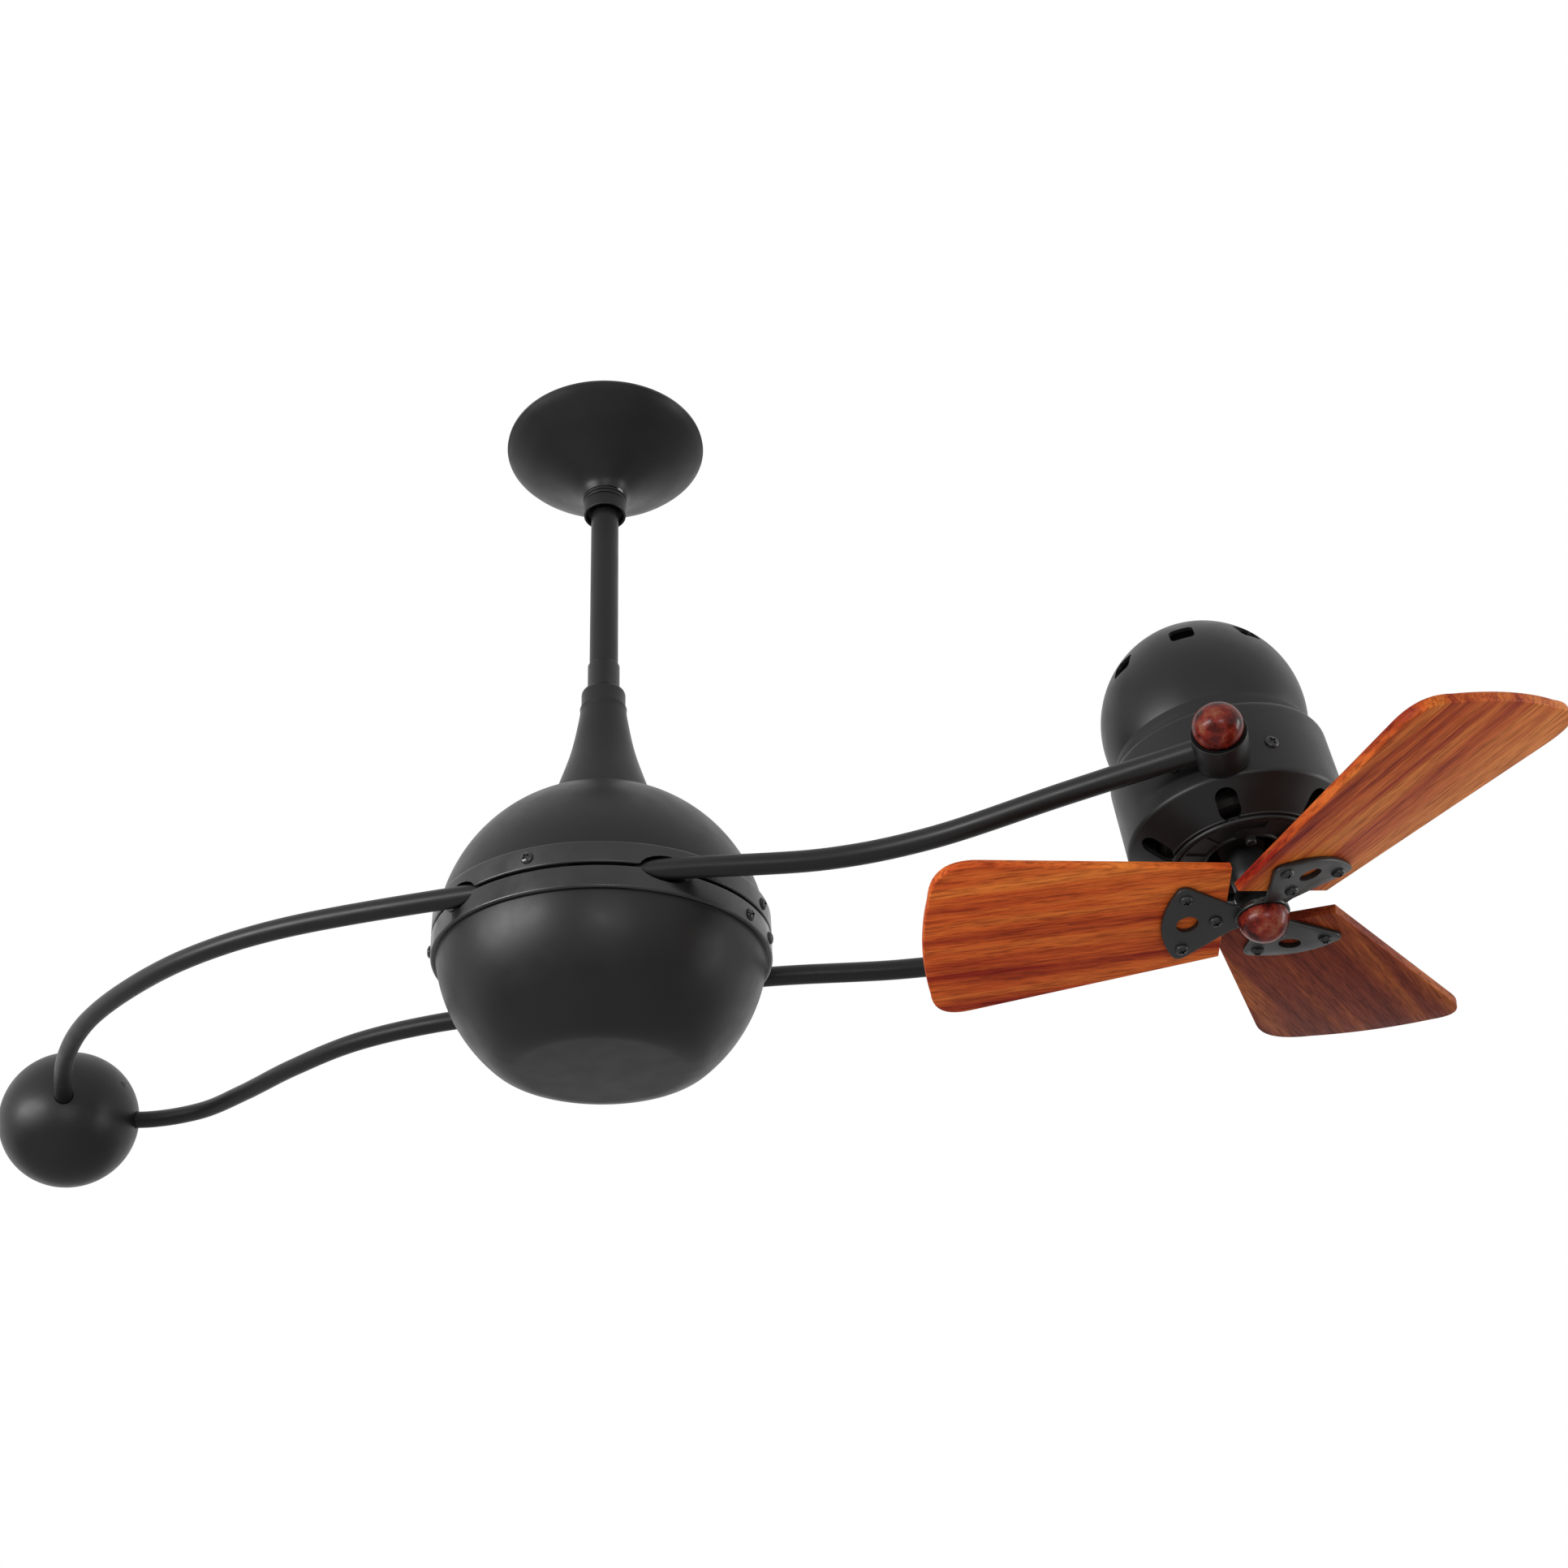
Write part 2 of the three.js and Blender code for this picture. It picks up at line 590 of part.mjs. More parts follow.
/** One of the two bands round the ball's equator, with rounded rims. */
function band(side) {
  const r = BAND_RADIUS;
  const foot = PARTING;
  const profile = [
    [r - BAND_WALL, foot],
    [r - 1, foot],
    [r, foot + BAND_EDGE],
    [r, BAND_HEIGHT - BAND_EDGE],
    [r - 1, BAND_HEIGHT],
    [r - BAND_WALL, BAND_HEIGHT],
  ];
  return withTubeHoles(turned(profile.map(([x, z]) => [x, side * z]), ROUND_LARGE));
}

// ---------------------------------------------------------------- carrier and tube clamps
/** Where a tube passes closest to the downrod's axis, and its direction there. */
function crossing(path) {
  const steps = 200;
  const distances = path.getSpacedPoints(steps).map((point) => point.length());
  const station = distances.indexOf(Math.min(...distances)) / steps;
  const along = path.getTangentAt(station);
  return { point: path.getPointAt(station), angle: Math.atan2(along.y, along.x) };
}
const frontCrossing = crossing(frontPath);
const rearCrossing = crossing(rearPath);

function clamp(path, { point, angle }) {
  // saddle over the tube, with two flat feet on the beam
  const channel = TUBE_RADIUS + GAP;
  const crown = channel + CLAMP_WALL;
  const foot = BEAM_TOP + GAP;
  const shape = new THREE.Shape();
  shape.moveTo(-CLAMP_WIDTH / 2, foot);
  shape.lineTo(-CLAMP_WIDTH / 2, foot + CLAMP_WALL);
  shape.lineTo(-crown, foot + CLAMP_WALL);
  shape.lineTo(-crown, 0);
  shape.absarc(0, 0, crown, Math.PI, 0, true);
  shape.lineTo(crown, foot + CLAMP_WALL);
  shape.lineTo(CLAMP_WIDTH / 2, foot + CLAMP_WALL);
  shape.lineTo(CLAMP_WIDTH / 2, foot);
  shape.closePath();
  const saddle = solid(
    new THREE.ExtrudeGeometry(shape, { depth: CLAMP_LENGTH, bevelEnabled: false, curveSegments: 6 })
      .translate(0, 0, -CLAMP_LENGTH / 2)
      .rotateX(QUARTER)
      .rotateZ(QUARTER)
  );
  const slot = block(2 * CLAMP_LENGTH, 2 * channel, 2 * crown, move(0, 0, -crown));
  const place = turnZ(angle).setPosition(point);
  return saddle.subtract(slot).transform(place.elements).subtract(tubeBore(path, GAP));
}

function armCarrier() {
  // hub round both bearings, cast in one with the beam under the tubes
  const bearingFit = BEARING_RADIUS + GAP;
  const shelf = BEARING_RADIUS - 4;
  const top = UPPER_BEARING + BEARING_HEIGHT;
  const hub = turned([
    [bearingFit, LOWER_BEARING],
    [HUB_RADIUS, LOWER_BEARING],
    [HUB_RADIUS, top],
    [bearingFit, top],
    [bearingFit, UPPER_BEARING - GAP],
    [shelf, UPPER_BEARING - GAP],
    [shelf, LOWER_BEARING + BEARING_HEIGHT + GAP],
    [bearingFit, LOWER_BEARING + BEARING_HEIGHT + GAP],
  ]);
  const bore = bar(HUB_RADIUS - 1, BEAM_TOP - 2 * BEAM_HEIGHT, BEAM_TOP + 1, ROUND_MEDIUM);
  const floor = BEAM_TOP - BEAM_HEIGHT;
  const reach = bar(SKIRT_RADIUS - SHELL_WALL - GAP, floor, BEAM_TOP, ROUND_LARGE);
  const beam = block(BEAM_WIDTH, 2 * BALL_RADIUS, 2 * BEAM_HEIGHT, move(0, 0, BEAM_TOP))
    .transform(turnZ((frontCrossing.angle + rearCrossing.angle) / 2).elements)
    .intersect(reach)
    .subtract(bore);
  return hub.add(beam);
}

function brushHolder() {
  // post on the hub's rim with three fingers that reach the slip ring
  const floor = UPPER_BEARING + BEARING_HEIGHT + GAP;
  const height = SLIP_RING_FLOOR + SLIP_RING_HEIGHT - floor;
  const post = block(8, 14, height, move(HUB_RADIUS - 2, 0, floor + height / 2));
  const reach = HUB_RADIUS - SLIP_RING_RADIUS + 1;
  const fingers = [0, 1, 2].map((i) => {
    const z = SLIP_RING_FLOOR + (SLIP_RING_HEIGHT / 3) * (i + 0.62);
    return block(reach, 6, 3, move(SLIP_RING_RADIUS - 2 + GAP + reach / 2, 0, z));
  });
  return fingers.reduce((body, finger) => body.add(finger), post);
}

// ---------------------------------------------------------------- counterweight and knuckles
function counterweight() {
  const ball = solid(new THREE.SphereGeometry(WEIGHT_RADIUS, 20, 10), move(-WEIGHT_REACH, 0, 0));
  return ball.subtract(tubeBore(frontPath, GAP)).subtract(tubeBore(rearPath, GAP));
}

/** Turns a piece made along +Z so that it lies along the pivot axis, on either side. */
function alongPivot(body, side) {
  const direction = frontward.clone().multiplyScalar(side);
  const turn = new THREE.Quaternion().setFromUnitVectors(new THREE.Vector3(0, 0, 1), direction);
  const place = new THREE.Matrix4().makeRotationFromQuaternion(turn).setPosition(pivotCentre);
  return body.transform(place.elements);
}

function finialBall(radius) {
  return solid(new THREE.SphereGeometry(radius, 14, 8), move(0, 0, FINIAL_STATION));
}

function knuckle(side, path) {
  const edge = 1;
  const body = turned([
    [0, KNUCKLE_INNER],
    [KNUCKLE_RADIUS, KNUCKLE_INNER],
    [KNUCKLE_RADIUS, KNUCKLE_OUTER - edge],
    [KNUCKLE_RADIUS - 0.5, KNUCKLE_OUTER],
    [0, KNUCKLE_OUTER],
  ], ROUND_MEDIUM);
  const cup = finialBall(FINIAL_RADIUS + GAP);
  const pinHole = bar(PIN_RADIUS + GAP, KNUCKLE_INNER - 1, PIN_TIP + GAP);
  const placed = alongPivot(body.subtract(cup).subtract(pinHole), side);
  return placed.subtract(tubeBore(path, GAP));
}

function pivotPin(side) {
  const collar = KNUCKLE_INNER - 6;
  const body = turned([
    [0, PIN_ROOT],
    [PIN_RADIUS, PIN_ROOT],
    [PIN_RADIUS, PIN_TIP],
    [0, PIN_TIP],
  ], ROUND_SMALL).add(bar(PIN_RADIUS + 3, PIN_ROOT, collar - GAP, 6));
  return alongPivot(body, side);
}

// ---------------------------------------------------------------- fan head, in its own frame
/** A through slot that points outwards from the motor axis. */
function slotCutter(width, height, corner, depth, cornerSteps) {
  const shape = new THREE.Shape();
  const [w, h] = [width / 2, height / 2];
  shape.moveTo(-w + corner, -h);
  shape.lineTo(w - corner, -h);
  shape.absarc(w - corner, -h + corner, corner, -QUARTER, 0, false);
  shape.lineTo(w, h - corner);
  shape.absarc(w - corner, h - corner, corner, 0, QUARTER, false);
  shape.lineTo(-w + corner, h);
  shape.absarc(-w + corner, h - corner, corner, QUARTER, Math.PI, false);
  shape.lineTo(-w, -h + corner);
  shape.absarc(-w + corner, -h + corner, corner, Math.PI, 1.5 * Math.PI, false);
  return plate(shape, depth, cornerSteps);
}

function around(count, start, place) {
  return Array.from({ length: count }, (_, i) => place(start + (i * 2 * Math.PI) / count));
}

function motorDome() {
  const outer = arc(0, DOME_CENTRE, DOME_RADIUS, DOME_RISE, 0, 90, 6);
  const inner = arc(0, DOME_CENTRE, DOME_RADIUS - HEAD_WALL, DOME_RISE - HEAD_WALL, 90, 0, 2);
  const foot = STEP_HEIGHT + GAP;
  const shell = turned([
    [DOME_RADIUS - 1.2, foot],
    [DOME_RADIUS - 0.6, foot + 8],
    ...outer,
    ...inner,
    [DOME_RADIUS - 1.2 - HEAD_WALL, foot],
  ], ROUND_LARGE);
  const lean = Math.atan2(DOME_VENT_HEIGHT - DOME_CENTRE, DOME_RADIUS * 0.86);
  const cutter = slotCutter(DOME_VENT_SIZE, DOME_VENT_SIZE, DOME_VENT_CORNER, 30, 1);
  const vents = around(DOME_VENTS, -QUARTER, (azimuth) => {
    const place = new THREE.Matrix4()
      .makeRotationZ(azimuth)
      .multiply(new THREE.Matrix4().makeRotationY(QUARTER - lean))
      .multiply(turnZ(QUARTER));
    const out = DOME_RADIUS - 20;
    const z = DOME_CENTRE + out * Math.sin(lean);
    const r = out * Math.cos(lean);
    place.setPosition(r * Math.cos(azimuth), r * Math.sin(azimuth), z);
    return cutter.transform(place.elements);
  });
  return vents.reduce((body, vent) => body.subtract(vent), shell);
}

function motorDrum() {
  const seat = DOME_RADIUS - 1.2; // the dome stands on this radius
  const s = DRUM_SHOULDER;
  const outside = [
    [seat - HEAD_WALL, STEP_HEIGHT],
    [seat - 0.6, STEP_HEIGHT],
    ...arc(DRUM_RADIUS - 5.5, STEP_HEIGHT - s, 5.5, s - 1, 75, 0, 2),
    [DRUM_RADIUS, DRUM_FOOT + 4],
    [DRUM_RADIUS - 0.8, DRUM_FOOT + 1],
    [DRUM_RADIUS - 3, DRUM_FOOT - 1.2],
    [RIM_RADIUS + 1.2, RIM_HEIGHT],
    [RIM_RADIUS - 1.2, RIM_HEIGHT - 0.8],
  ];
  const inside = [
    [RIM_RADIUS - 1.8, RIM_HEIGHT + 1.5],
    [DRUM_RADIUS - HEAD_WALL - 4, DRUM_FOOT + 1.5],
    [DRUM_RADIUS - HEAD_WALL, DRUM_FOOT + 5],
    [DRUM_RADIUS - HEAD_WALL, STEP_HEIGHT - s - 2],
    [seat - HEAD_WALL, STEP_HEIGHT - HEAD_WALL],
  ];
  const shell = turned([...outside, ...inside], ROUND_LARGE);
  const slope = Math.atan2(DRUM_RADIUS - 3 - RIM_RADIUS, DRUM_FOOT - RIM_HEIGHT);
  const middle = { r: (DRUM_RADIUS + RIM_RADIUS) / 2 - 2.5, z: (DRUM_FOOT + RIM_HEIGHT) / 2 };
  const cutter = slotCutter(BASE_VENT_WIDTH, BASE_VENT_LENGTH, BASE_VENT_WIDTH / 2 - 0.1, 16, 2);
  const vents = around(BASE_VENTS, BASE_VENT_START, (azimuth) => {
    const place = new THREE.Matrix4()
      .makeRotationZ(azimuth)
      .setPosition(middle.r * Math.cos(azimuth), middle.r * Math.sin(azimuth), middle.z)
      .multiply(new THREE.Matrix4().makeRotationY(Math.PI - (QUARTER - slope)))
      .multiply(turnZ(QUARTER))
      .multiply(move(0, 0, -8));
    return cutter.transform(place.elements);
  });
  const pinBores = [0, Math.PI].map((flip) =>
    bar(PIN_RADIUS + GAP, PIN_ROOT - 4, DRUM_RADIUS + 2)
      .transform(new THREE.Matrix4().makeRotationX(QUARTER + flip).elements)
  );
  return [...vents, ...pinBores].reduce((body, cut) => body.subtract(cut), shell);
}

const statorFloor = -8;
function statorCore() {
  // laminated stack with its winding heads above and below
  const top = statorFloor + STATOR_HEIGHT;
  const slotCount = 8;
  const core = ring(STATOR_BORE, STATOR_RADIUS, statorFloor, top, ROUND_LARGE);
  const slots = around(slotCount, 0, (angle) =>
    block(10, 4, STATOR_HEIGHT + 2, turnZ(angle).multiply(move(STATOR_BORE + 3, 0, statorFloor + STATOR_HEIGHT / 2)))
  );
  return slots.reduce((body, slot) => body.subtract(slot), core);
}

function windingHead(low, high) {
  const [inner, outer] = [STATOR_BORE + 5, STATOR_RADIUS - 6];
  const soft = 3;
  return turned([
    [inner, low],
    [outer - soft, low],
    [outer, low + soft],
    [outer, high - soft],
    [outer - soft, high],
    [inner, high],
  ]);
}

const rotorFloor = statorFloor;
function rotorCore() {
  return ring(SHAFT_RADIUS + GAP, ROTOR_RADIUS, rotorFloor, rotorFloor + ROTOR_HEIGHT);
}

const plateLevel = RIM_HEIGHT + 2.4;
function bearingPlate() {
  // ribbed end plate inside the rim that holds the lower motor bearing
  const thickness = 3;
  const cup = MOTOR_BEARING_RADIUS + GAP;
  const disc = ring(BEARING_PLATE_BORE, BEARING_PLATE_RADIUS - 1, plateLevel, plateLevel + thickness);
  const holder = ring(cup, cup + 3, plateLevel + 4, plateLevel + 4 + MOTOR_BEARING_HEIGHT);
  const spokes = around(6, BASE_VENT_START + Math.PI / 6, (angle) =>
    block(BEARING_PLATE_RADIUS - cup - 3, 4, 6, turnZ(angle).multiply(
      move((BEARING_PLATE_RADIUS + cup) / 2, 0, plateLevel + thickness + 1.9)
    ))
  );
  return spokes.reduce((body, spoke) => body.add(spoke), disc.add(holder));
}

function domeBearingHolder() {
  // cross bridge under the dome that holds the upper motor bearing
  const floor = statorFloor + STATOR_HEIGHT + COIL_HEIGHT + 6;
  const cup = MOTOR_BEARING_RADIUS + GAP;
  const holder = ring(cup, cup + 3, floor, floor + MOTOR_BEARING_HEIGHT);
  const reach = DOME_RADIUS - HEAD_WALL - 2.2;
  const arms = around(4, Math.PI / 4, (angle) =>
    block(reach - cup - 1, 8, 4, turnZ(angle).multiply(move((reach + cup + 1) / 2, 0, floor + 2)))
  );
  return arms.reduce((body, one) => body.add(one), holder);
}
const lowerMotorBearing = plateLevel + 4;
const upperMotorBearing = statorFloor + STATOR_HEIGHT + COIL_HEIGHT + 6;

function motorBearing(floor) {
  return ring(SHAFT_RADIUS + GAP, MOTOR_BEARING_RADIUS, floor, floor + MOTOR_BEARING_HEIGHT);
}

function motorShaft() {
  return turned([
    [0, HUB_FOOT + 1],
    [SHAFT_RADIUS, HUB_FOOT + 1],
    [SHAFT_RADIUS, SHAFT_TOP],
    [0, SHAFT_TOP],
  ], ROUND_MEDIUM);
}

function shaftSleeve() {
  // skirt that turns with the shaft and fills the middle of the end plate
  const top = plateLevel - 1;
  return turned([
    [SHAFT_RADIUS + GAP, HUB_TOP + GAP],
    [SLEEVE_RADIUS - 1.5, HUB_TOP + GAP],
    [SLEEVE_RADIUS, HUB_TOP + 10],
    [SLEEVE_RADIUS, top],
    [SHAFT_RADIUS + GAP, top],
  ], ROUND_MEDIUM);
}

// ---------------------------------------------------------------- blades, in the head's frame
/** Places a blade piece that is made along +X: pitched round its length, then turned to its place. */
function bladePlace(angle) {
  return turnZ(angle)
    .multiply(move(0, 0, BLADE_LEVEL))
    .multiply(new THREE.Matrix4().makeRotationX(BLADE_PITCH));
}

function bladeHub() {
  // turned boss on the shaft, with the flange that carries the three blade irons
  return turned([
    [SHAFT_RADIUS + GAP, HUB_FOOT],
    [HUB_FLANGE_RADIUS, HUB_FOOT],
    [HUB_FLANGE_RADIUS, HUB_FOOT + HUB_FLANGE_THICKNESS],
    [BLADE_HUB_RADIUS, HUB_FOOT + HUB_FLANGE_THICKNESS + 0.8],
    [BLADE_HUB_RADIUS, HUB_TOP],
    [SHAFT_RADIUS + GAP, HUB_TOP],
  ], 20);
}

function woodBlade(angle) {
  const root = BLADE_ROOT_HALF;
  const [lead, trail] = [BLADE_LEADING_HALF, BLADE_TRAILING_HALF];
  const start = BLADE_TIP - BLADE_CORNER;
  const taper = (start - BLADE_ROOT) / (BLADE_TIP - BLADE_ROOT);
  const leadStart = root + (lead - root) * taper;
  const trailStart = root + (trail - root) * taper;
  const crown = BLADE_TIP + 1 + 2 * BLADE_TIP_CROWN;
  const outline = new THREE.Shape();
  outline.moveTo(BLADE_ROOT, -root);
  outline.lineTo(start, -trailStart);
  outline.quadraticCurveTo(BLADE_TIP, -trail, BLADE_TIP + 1, -trail + BLADE_CORNER);
  outline.quadraticCurveTo(crown, 0, BLADE_TIP + 1, lead - BLADE_CORNER);
  outline.quadraticCurveTo(BLADE_TIP, lead, start, leadStart);
  outline.lineTo(BLADE_ROOT, root);
  outline.closePath();
  const bevel = 1.2;
  const board = solid(new THREE.ExtrudeGeometry(outline, {
    depth: BLADE_THICKNESS - 2 * bevel,
    bevelEnabled: true,
    bevelThickness: bevel,
    bevelSize: bevel,
    bevelOffset: -bevel,
    bevelSegments: 1,
    curveSegments: 6,
  }).translate(0, 0, -BLADE_THICKNESS / 2 + bevel));
  return board.transform(bladePlace(angle).elements);
}

function bladeIron(angle) {
  const lower = -BLADE_THICKNESS / 2 - GAP - IRON_THICKNESS;
  const tipBulge = 2 * IRON_REACH - IRON_SHOULDER;
  const outline = new THREE.Shape();
  outline.moveTo(BLADE_HUB_RADIUS, -IRON_NECK);
  outline.lineTo(HUB_FLANGE_RADIUS + 2, -IRON_NECK);
  outline.lineTo(IRON_SHOULDER - 5, -IRON_SPREAD + 1);
  outline.quadraticCurveTo(IRON_SHOULDER, -IRON_SPREAD - 1, IRON_SHOULDER + 2, -IRON_SPREAD + 5);
  outline.quadraticCurveTo(tipBulge - 6, 0, IRON_SHOULDER + 2, IRON_SPREAD - 5);
  outline.quadraticCurveTo(IRON_SHOULDER, IRON_SPREAD + 1, IRON_SHOULDER - 5, IRON_SPREAD - 1);
  outline.lineTo(HUB_FLANGE_RADIUS + 2, IRON_NECK);
  outline.lineTo(BLADE_HUB_RADIUS, IRON_NECK);
  outline.closePath();
  const eye = new THREE.Path();
  eye.absarc(IRON_HOLE_STATION, 0, IRON_HOLE_RADIUS, 0, 2 * Math.PI, true);
  outline.holes.push(eye);
  const flange = plate(outline, IRON_THICKNESS, 6).translate([0, IRON_OFFSET, lower]);
  const hubClear = bar(HUB_FLANGE_RADIUS + GAP, HUB_FOOT - 20, HUB_TOP + 20, 20);
  return flange.transform(bladePlace(angle).elements).subtract(hubClear);
}

function hubFinial() {
  // turned wooden ball, cut flat where it meets the hub
  const top = HUB_FOOT - GAP;
  const cut = THREE.MathUtils.radToDeg(Math.asin((top - HUB_FINIAL_CENTRE) / HUB_FINIAL_RADIUS));
  const r = HUB_FINIAL_RADIUS;
  return turned([[0, top], ...arc(0, HUB_FINIAL_CENTRE, r, r, cut, -90, 6)]);
}

// ---------------------------------------------------------------- assembly
const fan = new THREE.Group();

const hanger = new THREE.Group();
hanger.add(
  piece("ceiling_bracket", ceilingBracket(), finish.zincSteel),
  piece("hanger_ball", hangerBall(), finish.resin),
  piece("hanger_pin", pinBore(HANGER_PIN_RADIUS, 32, hangerBallCentre), finish.zincSteel),
  piece("canopy", canopy(), finish.powderCoat),
  piece("canopy_ring", canopyRing(), finish.powderCoat),
  piece("canopy_collar", canopyCollar(), finish.powderCoat),
  piece("downrod", downrod(), finish.powderCoat),
);
fan.add(hanger);

const stem = new THREE.Group();
stem.position.z = -DROP;
stem.add(
  piece("coupling_yoke", couplingYoke(), finish.blackSteel),
  piece("coupling_pin", pinBore(COUPLING_PIN_RADIUS, 32, ROD_END + 12), finish.zincSteel),
  piece("spindle", spindle(), finish.brightSteel),
  piece("upper_bearing_inner", bearingRing(SPINDLE_RADIUS + GAP, RACE_SPLIT, UPPER_BEARING), finish.brightSteel),
  piece("lower_bearing_inner", bearingRing(SPINDLE_RADIUS + GAP, RACE_SPLIT, LOWER_BEARING), finish.brightSteel),
  piece("spindle_nut", spindleNut(), finish.zincSteel),
  piece("slip_ring", slipRing(), finish.brass),
);
fan.add(stem);

const arm = new THREE.Group();
arm.position.z = -DROP;
arm.add(
  piece("neck_cone", neckCone(), finish.powderCoat),
  piece("neck_collar", neckCollar(), finish.powderCoat),
  piece("upper_shell", upperShell(), finish.powderCoat),
  piece("lower_shell", lowerShell(), finish.powderCoat),
  piece("upper_band", band(1), finish.blackSteel),
  piece("lower_band", band(-1), finish.blackSteel),
  piece("arm_carrier", armCarrier(), finish.castMetal),
  piece("upper_bearing_outer", bearingRing(RACE_SPLIT + RACE_GAP, BEARING_RADIUS, UPPER_BEARING), finish.brightSteel),
  piece("lower_bearing_outer", bearingRing(RACE_SPLIT + RACE_GAP, BEARING_RADIUS, LOWER_BEARING), finish.brightSteel),
  piece("front_clamp", clamp(frontPath, frontCrossing), finish.castMetal),
  piece("rear_clamp", clamp(rearPath, rearCrossing), finish.castMetal),
  piece("brush_holder", brushHolder(), finish.resin),
  piece("front_tube", swept(frontPath, TUBE_RADIUS, TUBE_STEPS), finish.powderCoat),
  piece("rear_tube", swept(rearPath, TUBE_RADIUS, TUBE_STEPS), finish.powderCoat),
  piece("counterweight", counterweight(), finish.powderCoat),
  piece("front_knuckle", knuckle(1, frontPath), finish.powderCoat),
  piece("rear_knuckle", knuckle(-1, rearPath), finish.powderCoat),
  piece("front_finial", alongPivot(finialBall(FINIAL_RADIUS), 1), finish.polishedBurl),
  piece("rear_finial", alongPivot(finialBall(FINIAL_RADIUS), -1), finish.polishedBurl),
);
fan.add(arm);

const pivots = new THREE.Group();
pivots.position.z = -DROP;
pivots.add(
  piece("front_pivot_pin", pivotPin(1), finish.brightSteel),
  piece("rear_pivot_pin", pivotPin(-1), finish.brightSteel),
);
fan.add(pivots);

const head = new THREE.Group();
head.position.set(HEAD_REACH, HEAD_OFFSET, -DROP - HEAD_DROP);
head.rotation.copy(headTurn);
const windingTop = statorFloor + STATOR_HEIGHT;
head.add(
  piece("motor_dome", motorDome(), finish.powderCoat),
  piece("motor_drum", motorDrum(), finish.powderCoat),
  piece("stator_core", statorCore(), finish.zincSteel),
  piece("upper_winding", windingHead(windingTop + GAP, windingTop + COIL_HEIGHT), finish.copper),
  piece("lower_winding", windingHead(statorFloor - COIL_HEIGHT, statorFloor - GAP), finish.copper),
  piece("bearing_plate", bearingPlate(), finish.castMetal),
  piece("bearing_bridge", domeBearingHolder(), finish.castMetal),
  piece("lower_motor_bearing", motorBearing(lowerMotorBearing), finish.brightSteel),
  piece("upper_motor_bearing", motorBearing(upperMotorBearing), finish.brightSteel),
  piece("motor_shaft", motorShaft(), finish.brightSteel),
  piece("rotor_core", rotorCore(), finish.castMetal),
  piece("shaft_sleeve", shaftSleeve(), finish.powderCoat),
  piece("blade_hub", bladeHub(), finish.blackSteel),
  piece("hub_finial", hubFinial(), finish.polishedBurl),
);
around(BLADES, BLADE_PHASE, (angle) => angle).forEach((angle, i) => {
  head.add(
    piece("blade_" + (i + 1), woodBlade(angle), finish.mahogany),
    piece("blade_iron_" + (i + 1), bladeIron(angle), finish.blackSteel),
  );
});
fan.add(head);

export default fan;
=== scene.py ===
import math

import bmesh
import bpy
from mathutils import Euler, Matrix, Vector


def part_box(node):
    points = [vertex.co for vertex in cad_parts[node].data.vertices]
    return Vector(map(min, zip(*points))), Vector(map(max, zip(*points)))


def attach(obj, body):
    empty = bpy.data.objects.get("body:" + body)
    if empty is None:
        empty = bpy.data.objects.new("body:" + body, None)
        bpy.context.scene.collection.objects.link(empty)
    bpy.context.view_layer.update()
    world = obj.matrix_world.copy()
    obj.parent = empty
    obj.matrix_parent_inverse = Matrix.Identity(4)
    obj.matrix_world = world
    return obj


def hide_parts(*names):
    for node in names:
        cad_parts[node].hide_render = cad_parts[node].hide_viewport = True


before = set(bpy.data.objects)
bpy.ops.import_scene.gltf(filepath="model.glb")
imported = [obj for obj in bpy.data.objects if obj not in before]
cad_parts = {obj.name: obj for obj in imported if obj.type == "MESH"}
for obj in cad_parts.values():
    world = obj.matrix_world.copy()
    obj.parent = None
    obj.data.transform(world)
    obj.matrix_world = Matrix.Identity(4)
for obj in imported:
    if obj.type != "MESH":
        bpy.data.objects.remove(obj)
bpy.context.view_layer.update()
MM = 0.001
QUARTER = math.pi / 2

# ---------------------------------------------------------------- canopy
# Spun steel dish that hides the ceiling bracket, powder coated satin black.
# Its lip stands just off the ceiling and its flared neck slides on the downrod.
CANOPY_RADIUS = 78
CANOPY_LIP = 2.5
CANOPY_NECK = 17
CANOPY_DEPTH = 50
CANOPY_WALL = 1.5
CEILING_GAP = 0.4
LATHE_STEPS = 144
SHARP_ANGLE = math.radians(38)


def arc(centre_r, centre_z, radius_r, radius_z, start, end, steps):
    """Points of an arc in a profile, in mm; angles in degrees from the outward direction."""
    points = []
    for i in range(steps + 1):
        angle = math.radians(start + (end - start) * i / steps)
        r = centre_r + radius_r * math.cos(angle)
        points.append((max(0.0, r), centre_z + radius_z * math.sin(angle)))
    return points


def smooth_line(points, steps=6):
    """A profile through the given points with the corners between them rounded out."""
    line = []
    ends = [points[0]] + points + [points[-1]]
    for a, b, c, d in zip(ends, ends[1:], ends[2:], ends[3:]):
        for i in range(steps):
            t = i / steps
            weights = (
                -0.5 * t + t * t - 0.5 * t**3,
                1 - 2.5 * t * t + 1.5 * t**3,
                0.5 * t + 2 * t * t - 1.5 * t**3,
                -0.5 * t * t + 0.5 * t**3,
            )
            line.append(tuple(
                sum(w * p[k] for w, p in zip(weights, (a, b, c, d))) for k in (0, 1)
            ))
    line.append(points[-1])
    return line


def turned(profile, steps=LATHE_STEPS):
    """A bmesh of a profile of (radius, height) points in mm spun round Z."""
    bm = bmesh.new()
    row = [bm.verts.new((r * MM, 0, z * MM)) for r, z in profile]
    edges = [bm.edges.new(pair) for pair in zip(row, row[1:])]
    if profile[0] != profile[-1]:
        edges.append(bm.edges.new((row[-1], row[0])))
    bmesh.ops.spin(
        bm, geom=row + edges, cent=(0, 0, 0), axis=(0, 0, 1),
        angle=2 * math.pi, steps=steps, use_merge=True,
    )
    tidy(bm)
    return bm


